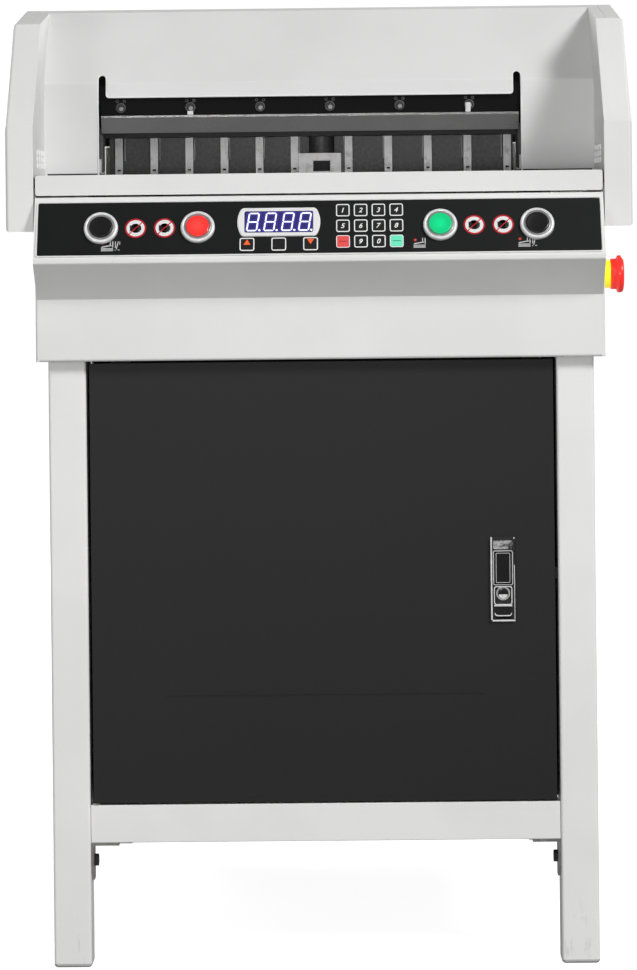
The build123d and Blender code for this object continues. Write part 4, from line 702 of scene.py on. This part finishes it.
# Emergency stop: a turned head with a lip, and two turning arrows on its face.
stop = {"depth": 68, "height": 731, "left": 312.2, "collar": (308.4, 311.7, 6, 15, 0.5), "face": 13.38,
        "ink": (-0.2, 0.12), "arrows": (20, 200), "sweep": 105, "tip": (11.2, 132),
        "edges": ((12.4, 13.9), (10.0, 8.5))}
headProfile = [(8, 0), (8, 5.05), (5.5, 5.05), (5.5, 15.3), (0, 15.3), (0, 16.3), (0.2, 16.5), (5.2, 16.5),
               (5.9, 16.8), (6.3, 17.6), (6.5, 18.8), (6.9, 19.6), (7.6, 20), (10.4, 20), (11.6, 19.7),
               (12.5, 18.9), (13.1, 17.7), (13.35, 16.2), (13.42, 12), (13.3, 6), (13.25, 0)]
middle = (stop["depth"], stop["height"])
head = Piece("stop_head", 45).surface(lathe(headProfile, (stop["left"], *middle), (1, 0, 0), 72))
# The head's red plastic glows a little: a painted glow.
head.build(slot="red_plastic", body="estop_cap", replaces=("estop_cap",))
inner, outer, bore, radius, edge = stop["collar"]
collarProfile = [(inner, bore), (inner, radius), (outer - edge, radius), (outer, radius - edge), (outer, bore)]
collar = Piece("stop_collar").surface(lathe(collarProfile, (0, *middle), (1, 0, 0), 64), closeRows=True)
# The collar's yellow plastic glows a little: a painted glow.
collar.build(slot="yellow_plastic")
turns = Piece("stop_arrows")
low, high = [stop["left"] + stop["face"] + lift for lift in stop["ink"]]
tip, onward = stop["tip"]
for start in stop["arrows"]:
    # Each edge is an arc, a barb at its end and the tip, as (depth, height).
    bend, point = start + stop["sweep"], start + onward
    outside, inside = [np.concatenate((arcPoints(middle, arc, start, bend, 16), arcPoints(middle, barb, bend, bend, 1),
                                       arcPoints(middle, tip, point, point, 1))) for arc, barb in stop["edges"]]
    rows = [lifted(*row) for row in ((outside, low), (inside, low), (inside, high), (outside, high))]
    turns.surface(np.roll(rows, 1, -1), closeRows=True, closeColumns=False)
turns.build(printedInk("arrow_ink", shade(236)), slot="red_plastic", body="estop_cap")
print("emergency stop made")

# A rolled hem round the throat in the hood plate, following the plate over its bend, in a lighter copy of the hood's
# paint: a painted highlight along the edge.
throat = {"middle": -10.4, "half": 232.5, "top": 929, "slot": 9.5, "slotTop": 954, "foot": 843.4, "bend": 944.5,
          "depth": 142, "lean": 0.8669, "hem": 0.85, "corner": 3, "stations": (880, 920), "topStations": (-120, 100)}


def throatLine(side):
    # Up the outer edge, round the slot's top, down its inner edge and into the long top edge.
    outer, radius, corner = throat["middle"] + side * throat["half"], throat["slot"] / 2, throat["corner"]
    crown = arcPoints((outer - side * radius, throat["slotTop"] - radius), radius, 0, 180, 13)[::side]
    start, stop = (0, -90) if side > 0 else (180, 270)
    bend = arcPoints((outer - side * (throat["slot"] + corner), throat["top"] + corner), corner, start, stop)
    return np.concatenate(([(outer, z) for z in (throat["foot"], *throat["stations"])], crown, bend))


topEdge = [(x, throat["top"]) for x in throat["topStations"]]
line = np.concatenate((throatLine(-1), topEdge, throatLine(1)[::-1]))
depths = throat["depth"] + np.clip(line[:, 1] - throat["bend"], 0, None) * throat["lean"]
hemPath = np.column_stack((line[:, 0], depths, line[:, 1]))
hem = Piece("throat_hem", 80).surface(bead(hemPath, throat["hem"]))
hem.build(powderCoat("hem_painted_highlight", shade(246), 0.35), slot="hood_paint")
print("throat hemmed")

# Knife: the ground land above the bevel, painted as a near-white glint fading to the right (a painted highlight), set
# screws over each bolt and two lugs under bolts.
forward = (0, -1, 0)
knife = {"ends": (-240.0, 219.4), "land": (907.2, 908.9), "landDepth": 152.0, "front": 146.0, "firstBolt": -218.0,
         "pitch": 76.6, "height": 917.5, "screwRise": 7.4, "screwReach": 3.9, "lugFront": 143.7}
landFinish = Finish("land_painted_glint", Metallic=0.2, Specular_IOR_Level=0.6)
sparkle = landFinish.noise(420, 3, (1, 1, 1.6), 0.7)
# Near white at the left and greyer towards the right: a painted highlight, with dark specks of the grinding.
tone = landFinish.layers(shade(252), (landFinish.axis(0).step(-0.26, 0.1), shade(175)),
                         (sparkle.step(0.5, 0.66), shade(150)))
landGlint = landFinish.done(tone, sparkle * 0.3 + 0.25, sparkle, 0.00005)
land = Piece("blade_land").bars((*knife["ends"], *knife["land"], knife["landDepth"], 0.15))
land.build(landGlint, slot="blade_steel", body="knife")

screwProfile = [(-0.05, 1.7), (0.15, 1.7), (0.3, 1.55), (0.3, 1.2), (0.2, 1.0), (-0.6, 0.95), (-0.6, 0)]
washerProfile = [(-0.1, 5.4), (0.25, 5.4), (0.4, 5.2), (0.4, 4.7), (0.1, 4.65)]
socketProfile = [(0, 2.5), (0.25, 2.5), (0.25, 2.2), (0.1, 1.9), (0.1, 0)]
dotProfile = [(0, 0.9), (0.3, 0.8), (0.4, 0.5), (0.4, 0)]
lugRows = {1: (909.2, 913.4, -3.2, 3.2), 5: (909.2, 919.6, -4.2, 1.4)}
dotRows = {1: (-4.6, 4.6)}
front, height, lugFront = knife["front"], knife["height"], knife["lugFront"]
boltPlaces = [knife["firstBolt"] + number * knife["pitch"] for number in range(6)]
fixings, lugs = Piece("knife_screws"), Piece("knife_lugs")
for x in boltPlaces:
    for side in (-1, 1):
        spot = (x + side * knife["screwReach"], front, height + knife["screwRise"])
        fixings.surface(lathe(screwProfile, spot, forward, 20))
    fixings.surface(lathe(washerProfile, (x, front, height), forward, 32))
    # A lighter hex socket set low and right on each bolt head: a painted highlight.
    lugs.surface(lathe(socketProfile, (x + 0.6, lugFront, height - 1.2), forward, 6), 1)
for number, (low, high, left, right) in lugRows.items():
    x = boltPlaces[number]
    lugs.bars((x + left, x + right, low, high, lugFront, 0.5, 0.5))
    for side in dotRows.get(number, ()):
        lugs.surface(lathe(dotProfile, (x + side, front, height - 0.3), forward, 16))
fixings.build(satinSteel("screw_steel", shade(96)), slot="dark_steel", body="knife")
lugs.build(satinSteel("lug_steel", shade(215)), satinSteel("bolt_socket_painted_highlight", shade(150)), slot="dark_steel", body="knife")

# Back gauge: ground faces on its fingers, slotted feet, bright strips beside them and a framed pocket; the fingers'
# shading, the strips and the black slots and pocket back are painted light and shade.
gauge = {"left": (-28.6, -39.5, 6), "right": (32.0, 44.5, 5), "half": 4.35, "heights": (843.0, 899.6),
         "front": 228.0, "plate": 252.0, "edge": (0.35, 1.35), "edgeHeights": (860.6, 899.6),
         "slot": (1.9, 848.7, 850.7), "tab": (1.6, 845.6, 848.5), "middle": 1.7}
fingerFinish = Finish("finger_steel_painted_shade", Metallic=0.2)
lines, slow = fingerFinish.noise(800, 3, (1, 1, 0.1), 0.6), fingerFinish.noise(110, 4)
# White at the foot and darker from 0.85 m up: painted light and shade; the mottling and dark streaks are the grinding.
tone = fingerFinish.layers(shade(255), (fingerFinish.axis(2).step(0.85, 0.895), shade(206)),
                           (slow.step(0.5, 0.75, 0.6), shade(176)), (lines.step(0.62, 0.72, 0.5), shade(110)))
# Black for dark seams and, as painted shade, for slots, hollows and the pocket's back.
blackAndPaintedShade = plastic("black_and_painted_shade", shade(6), 0.5)
brightSteel = satinSteel("bright_steel", shade(250), 0.1, 0.35, specks=0.2)
faces, edges, tabs, slots = [Piece(name) for name in ("finger_faces", "gauge_edges", "gauge_tabs", "gauge_slots")]
half, front = gauge["half"], gauge["front"]
for first, pitch, count in (gauge["left"], gauge["right"]):
    for x in [first + step * pitch for step in range(count)]:
        inward = -1 if x > gauge["middle"] else 1
        near, far = sorted(x + inward * (half + reach) for reach in gauge["edge"])
        faces.bars((x - half, x + half, *gauge["heights"], front, 0.15))
        edges.bars((near, far, *gauge["edgeHeights"], gauge["plate"], 0.8, 0.3))
        wide, low, high = gauge["tab"]
        tabs.bars((x - wide, x + wide, low, high, front - 0.15, 0.35, 0.3))
        # Each slot is a flat black patch on the finger: painted shade.
        wide, low, high = gauge["slot"]
        slots.bars((x - wide, x + wide, low, high, front - 0.14, 0.04))
block = {"outside": (-24.2, 23.4, 843.0, 866.9), "pocket": (-8.4, 11.8, 846.0, 859.0), "front": 222.0, "rim": 0.9,
         "back": (-16.5, 19.9, 866.8, 903.0, 267.4, 0.6)}
left, right, foot, top = block["outside"]
x0, x1, z0, z1 = block["pocket"]
front = block["front"]
faces.bars((left, x0, foot, top, front), (x1, right, foot, top, front), (x0, x1, z1, top, front),
           (x0, x1, foot, z0, front))
tabs.surface(frontRing(x0 - 0.2, x1 + 0.2, z0 - 0.2, z1 + 0.2, front - 0.1, block["rim"], 0.35, 0.6), closeRows=True)
# A black plate at the pocket's back and one behind the block: painted shade.
slots.bars((x0 + 0.1, x1 - 0.1, z0, z1, front + 3, 0.4), block["back"])
shadedFingerFace = fingerFinish.done(tone, lines * 0.2 + 0.3, lines, 0.00003)
# Near-white strips beside the fingers, towards the middle: painted highlights on their edges.
edgeHighlight = satinSteel("gauge_edge_painted_highlight", shade(255), 0.0, specks=0.2)
for piece, finish in ((faces, shadedFingerFace), (edges, edgeHighlight), (tabs, brightSteel), (slots, blackAndPaintedShade)):
    piece.build(finish, slot="gauge_alloy", body="gauge")

# Throat ends: dark shields on the side frames over the fences, folded guides at their feet, and the hood's seams.
ends = {"shields": ((-262, -239.6), (218.8, 241.4)), "guides": ((-252.0, -239.8, 1), (219.4, 231.0, -1)),
        "hook": ((-1.5, 846.4), (2.2, 845.6), (3.4, 847.6)), "hookDepth": 144.9,
        "seams": ((-299.0, -243.2), (222.4, 299.0)), "shield": (878.6, 914, 322.0, 2.0, 0.5),
        "guide": (846, 861.5, 145.5, 1.1, 0.3), "seam": (843.2, 845.7, 142, 0.06)}
shields, guides, seams = [Piece(name) for name in ("throat_shields", "throat_guides", "hood_seam")]
for x0, x1 in ends["shields"]:
    shields.bars((x0, x1, *ends["shield"]))
for x0, x1, way in ends["guides"]:
    guides.bars((x0, x1, *ends["guide"]))
    inner = x1 if way > 0 else x0
    guides.surface(bead([(inner + way * along, ends["hookDepth"], z) for along, z in ends["hook"]], 0.5, 8))
for x0, x1 in ends["seams"]:
    seams.bars((x0, x1, *ends["seam"]))
shields.build(blackAndPaintedShade, slot="frame_iron")
guides.build(satinSteel("guide_steel", shade(190), 0.2), slot="frame_iron")
seams.build(blackAndPaintedShade, slot="hood_paint")
print("throat detailed")

# Finger guard: short slits in four columns in each inner cheek, drawn as white pads that glow: painted light seen
# through the slits.
guard = {"wall": 301.5, "depths": (50, 76, 102, 128), "first": 851.0, "pitch": 7.0, "count": 3, "long": 5.5,
         "wide": 8.0}
slits = Piece("guard_slits")
for side in (-1, 1):
    for depth in guard["depths"]:
        for step in range(guard["count"]):
            middle = (depth, guard["first"] + step * guard["pitch"] + guard["long"] / 2)
            flat = slab(middle, guard["wide"], guard["long"], 0.9, [(0, 0), (0, 0.15), (0.15, 0.2)], 4)
            slits.surface(np.stack((side * (guard["wall"] - flat[..., 2]), flat[..., 0], flat[..., 1]), -1))
slits.build(printedInk("guard_slit_painted_glow", shade(252), 0.35), slot="cheek_paint")

# Sheet screws: pan heads on the cabinet's back and sides and on the housing's back, which has air slots too, drawn as
# flat black patches: painted shade in the openings.
sheets = {"back": 748.5, "side": 283.5, "housing": 766.0, "heights": (200, 408, 617), "across": 215,
          "depths": (135, 645), "housingSpots": (-270, -90, 90, 270), "housingHeights": (662, 772),
          "slotHeights": (700, 14, 5), "slotMiddles": (-214, -130), "slot": (60, 5, 2.5)}
panHead = [(-0.6, 4.0), (0.4, 4.0), (1.2, 3.6), (1.7, 2.4), (1.8, 1.5), (1.1, 1.2), (1.1, 0)]
screws, vents = Piece("sheet_screws"), Piece("air_slots")
backward, spots = (0, 1, 0), []
for z in sheets["heights"]:
    for side in (-1, 1):
        spots.append(((side * sheets["across"], sheets["back"], z), backward))
        spots += [((side * sheets["side"], depth, z), (side, 0, 0)) for depth in sheets["depths"]]
spots += [((x, sheets["housing"], z), backward) for x in sheets["housingSpots"] for z in sheets["housingHeights"]]
for spot, axis in spots:
    screws.surface(lathe(panHead, spot, axis, 20))
low, pitch, count = sheets["slotHeights"]
for x in sheets["slotMiddles"]:
    for step in range(count):
        flat = slab((x, low + step * pitch), *sheets["slot"], [(0, -0.1), (0, 0.15), (0.15, 0.2)], 4)
        vents.surface(upright(flat, sheets["housing"], 1))
screws.build(brightSteel, slot="zinc_steel")
vents.build(blackAndPaintedShade, slot="body_paint")
print("sheets screwed down")

# Door latch: near-white edges (painted highlights), a stamped tab mottled as painted reflections, a dark plate in the
# dished window (painted shade), and the lever's frame, ring and lip.
latch = {"outside": (178.0, 204.0, 364.0, 454.0), "front": 24.0, "edge": 1.7, "bottomEdge": 1.9, "wellLip": 0.9,
         "tab": (180.8, 201.6, 440.8, 450.0), "well": (180.6, 201.8, 402.4, 439.4),
         "glass": (183.6, 198.8, 405.0, 436.8), "leverFront": 23.0, "leverFrame": (181.2, 200.8, 381.6, 401.6),
         "bar": (181.4, 200.6, 380.2, 382.0), "grip": (182.6, 199.4, 372.0, 379.6), "lip": 370.2,
         "lipSteps": ((-0.4, 3.0), (0.2, 1.0), (1.6, 0)), "lock": (191, 394)}
chrome = Finish("stamped_chrome_painted_reflections", Metallic=0.7)
dentsAndReflections, rippleAndGlints = chrome.noise(170, 4, (1, 1, 1.5), 0.65), chrome.noise(420)
# Dark with light and near-white patches: painted reflections in the chrome, over real dents.
tone = chrome.layers(shade(70), (dentsAndReflections.step(0.4, 0.56), shade(214)), (rippleAndGlints.step(0.6, 0.7, 0.7), shade(252)))
stamped = chrome.done(tone, rippleAndGlints * 0.15 + 0.12, dentsAndReflections, 0.0004)
latchHighlight = satinSteel("latch_painted_highlight", shade(240), 0.15, 0.25, (1, 1, 0.5), 300, 0.9)
left, right, foot, top = latch["outside"]
front = latch["front"]
trim = Piece("latch_edges").bars(
    (left + 0.1, left + latch["edge"], foot + 0.1, top - 0.3, front, 0.35, 0.3),
    (left + 0.1, right - 0.1, foot + 0.1, foot + latch["bottomEdge"], front, 0.35, 0.3),
    (right - 1.0, right - 0.3, foot + 2, foot + 60, front, 0.3, 0.2),
    (right - 1.6, right - 0.2, top - 2.4, top - 0.6, front, 0.35, 0.6))
trim.surface(frontRing(*latch["well"], front, latch["wellLip"], 0.7, 2.2), closeRows=True)
trim.surface(frontRing(*latch["glass"], front, 0.6, 0.45, 1.2), closeRows=True)
trim.build(latchHighlight, slot="latch_chrome", body="door")
Piece("latch_tab").bars((*latch["tab"], front, 1.0, 1.8)).build(stamped, slot="latch_chrome", body="door")
windowShade = plastic("latch_window_shade", shade(12), 0.16, 0.5)
Piece("latch_window_shade").bars((*latch["glass"], front, 0.12, 0.6)).build(windowShade, slot="latch_chrome", body="door")

front, lip = latch["leverFront"], latch["lip"]
x0, x1 = latch["grip"][:2]
lipPath = [(x0 + inset, front - 0.2, lip + rise) for inset, rise in latch["lipSteps"]]
lipPath += [(x1 - inset, front - 0.2, lip + rise) for inset, rise in latch["lipSteps"][::-1]]
# The lever's frame, bar and lip are near-white: painted highlights.
leverTrim = Piece("lever_trim")
leverTrim.surface(frontRing(*latch["leverFrame"], front, 1.0, 0.5, 3.0), closeRows=True)
leverTrim.bars((*latch["bar"], front, 0.7, 0.5)).surface(bead(lipPath, 0.6))
leverTrim.build(latchHighlight, slot="latch_chrome", body="latch_lever")
darkGrip = plastic("grip_dark", shade(20), 0.2, 0.4, grain=260, depth=0.0003)
Piece("lever_grip").bars((*latch["grip"], front, 0.3, 1.4)).build(darkGrip, slot="latch_chrome", body="latch_lever")

ringProfile = [(0, 7.3), (0.5, 7.3), (0.9, 6.9), (0.9, 6.5), (0.4, 6.2), (0, 6.1)]
plugProfile = [(0, 5.7), (0.35, 5.6), (0.5, 5.2), (0.55, 4.0), (0.5, 0)]
x, z = latch["lock"]
ring = Piece("lock_ring").surface(lathe(ringProfile, (x, front, z), forward))
ring.build(satinSteel("ring_steel", shade(215), 0.2, 0.25, specks=0.9), slot="latch_chrome", body="latch_lever")
plug = Piece("lock_face", 30).surface(lathe(plugProfile, (x, front - 0.5, z), forward))
# A near-white half moon on the lower half of the lock face: a painted highlight.
moon = arcPoints((x, z - 0.7), 4.9, 184, 356, 24)
centre = np.broadcast_to(moon.mean(0), moon.shape)
moonRings = [lifted(*row) for row in ((centre, 0), (moon, 0), (moon, 0.25), (centre, 0.35))]
plug.surface(upright(np.stack(moonRings), front - 1.0), 1)
plug.build(plastic("lock_dark", shade(18), 0.2, 0.5), latchHighlight, slot="latch_chrome", body="lock")
print("latch detailed")

# Studio: a pale floor that curves up far behind, softboxes round the cutter and a dim surround.
studio = {"reach": 12.0, "bend": 3.0, "surround": 0.2, "glow": 0.93, "aim": (0, -0.38, 0.7)}
lampRows = [("keyLight", (3.89, -4.27, 4.2), 1.6, 258), ("fillLight", (-3.89, -4.27, 4.2), 1.6, 22),
            ("lowLight", (-1.8, -3.2, 0.35), 0.7, 16), ("tableLight", (0.03, -2.2, 0.8), 0.2, 4.3),
            ("backLight", (2.6, 4.0, 3.2), 1.6, 120), ("backFillLight", (-3.0, 3.6, 2.2), 1.6, 90)]
reach, bend = studio["reach"], studio["bend"]
floorLine = np.concatenate(([(-reach, 0), (-3, 0), (0, 0), (reach - bend, 0)],
                            arcPoints((reach - bend, bend), bend, -90, 0, 24), [(reach, 6.0), (reach, reach)]))
across = np.linspace(-reach, reach, 12)
grid = np.stack([np.column_stack((np.full(len(floorLine), x), floorLine)) for x in across])
mesh = bpy.data.meshes.new("backdrop")
mesh.from_pydata(grid.reshape(-1, 3).tolist(), [], quads(*grid.shape[:2], False, False).tolist())
mesh.shade_smooth()
paper = Finish("backdrop_paper", Roughness=0.9, Specular_IOR_Level=0.1, Emission_Color=(1, 1, 1, 1),
               Emission_Strength=studio["glow"])
paper.set("Base Color", paper.blend(paper.noise(90, 3), shade(168), shade(174)))
mesh.materials.append(paper.material)
floor = linked("backdrop", mesh)
floor.visible_diffuse = floor.visible_glossy = False

surround = bpy.data.worlds.new("surround")
surround.use_nodes = True
background = surround.node_tree.nodes["Background"].inputs
background["Color"].default_value, background["Strength"].default_value = (1, 1, 1, 1), studio["surround"]
bpy.context.scene.world = surround
bpy.context.scene.view_settings.view_transform = "Standard"


def softbox(name, spot, size, power):
    # A square area light turned from its spot to the cutter.
    lamp = bpy.data.lights.new(name, "AREA")
    lamp.energy, lamp.size = power, size
    back = unit(np.subtract(spot, studio["aim"]))
    right = unit(np.cross((0, 0, 1), back))
    turned = Matrix((right, np.cross(back, right), back)).transposed().to_4x4()
    linked(name, lamp).matrix_world = Matrix.Translation(spot) @ turned


for row in lampRows:
    softbox(*row)
print("studio lit")
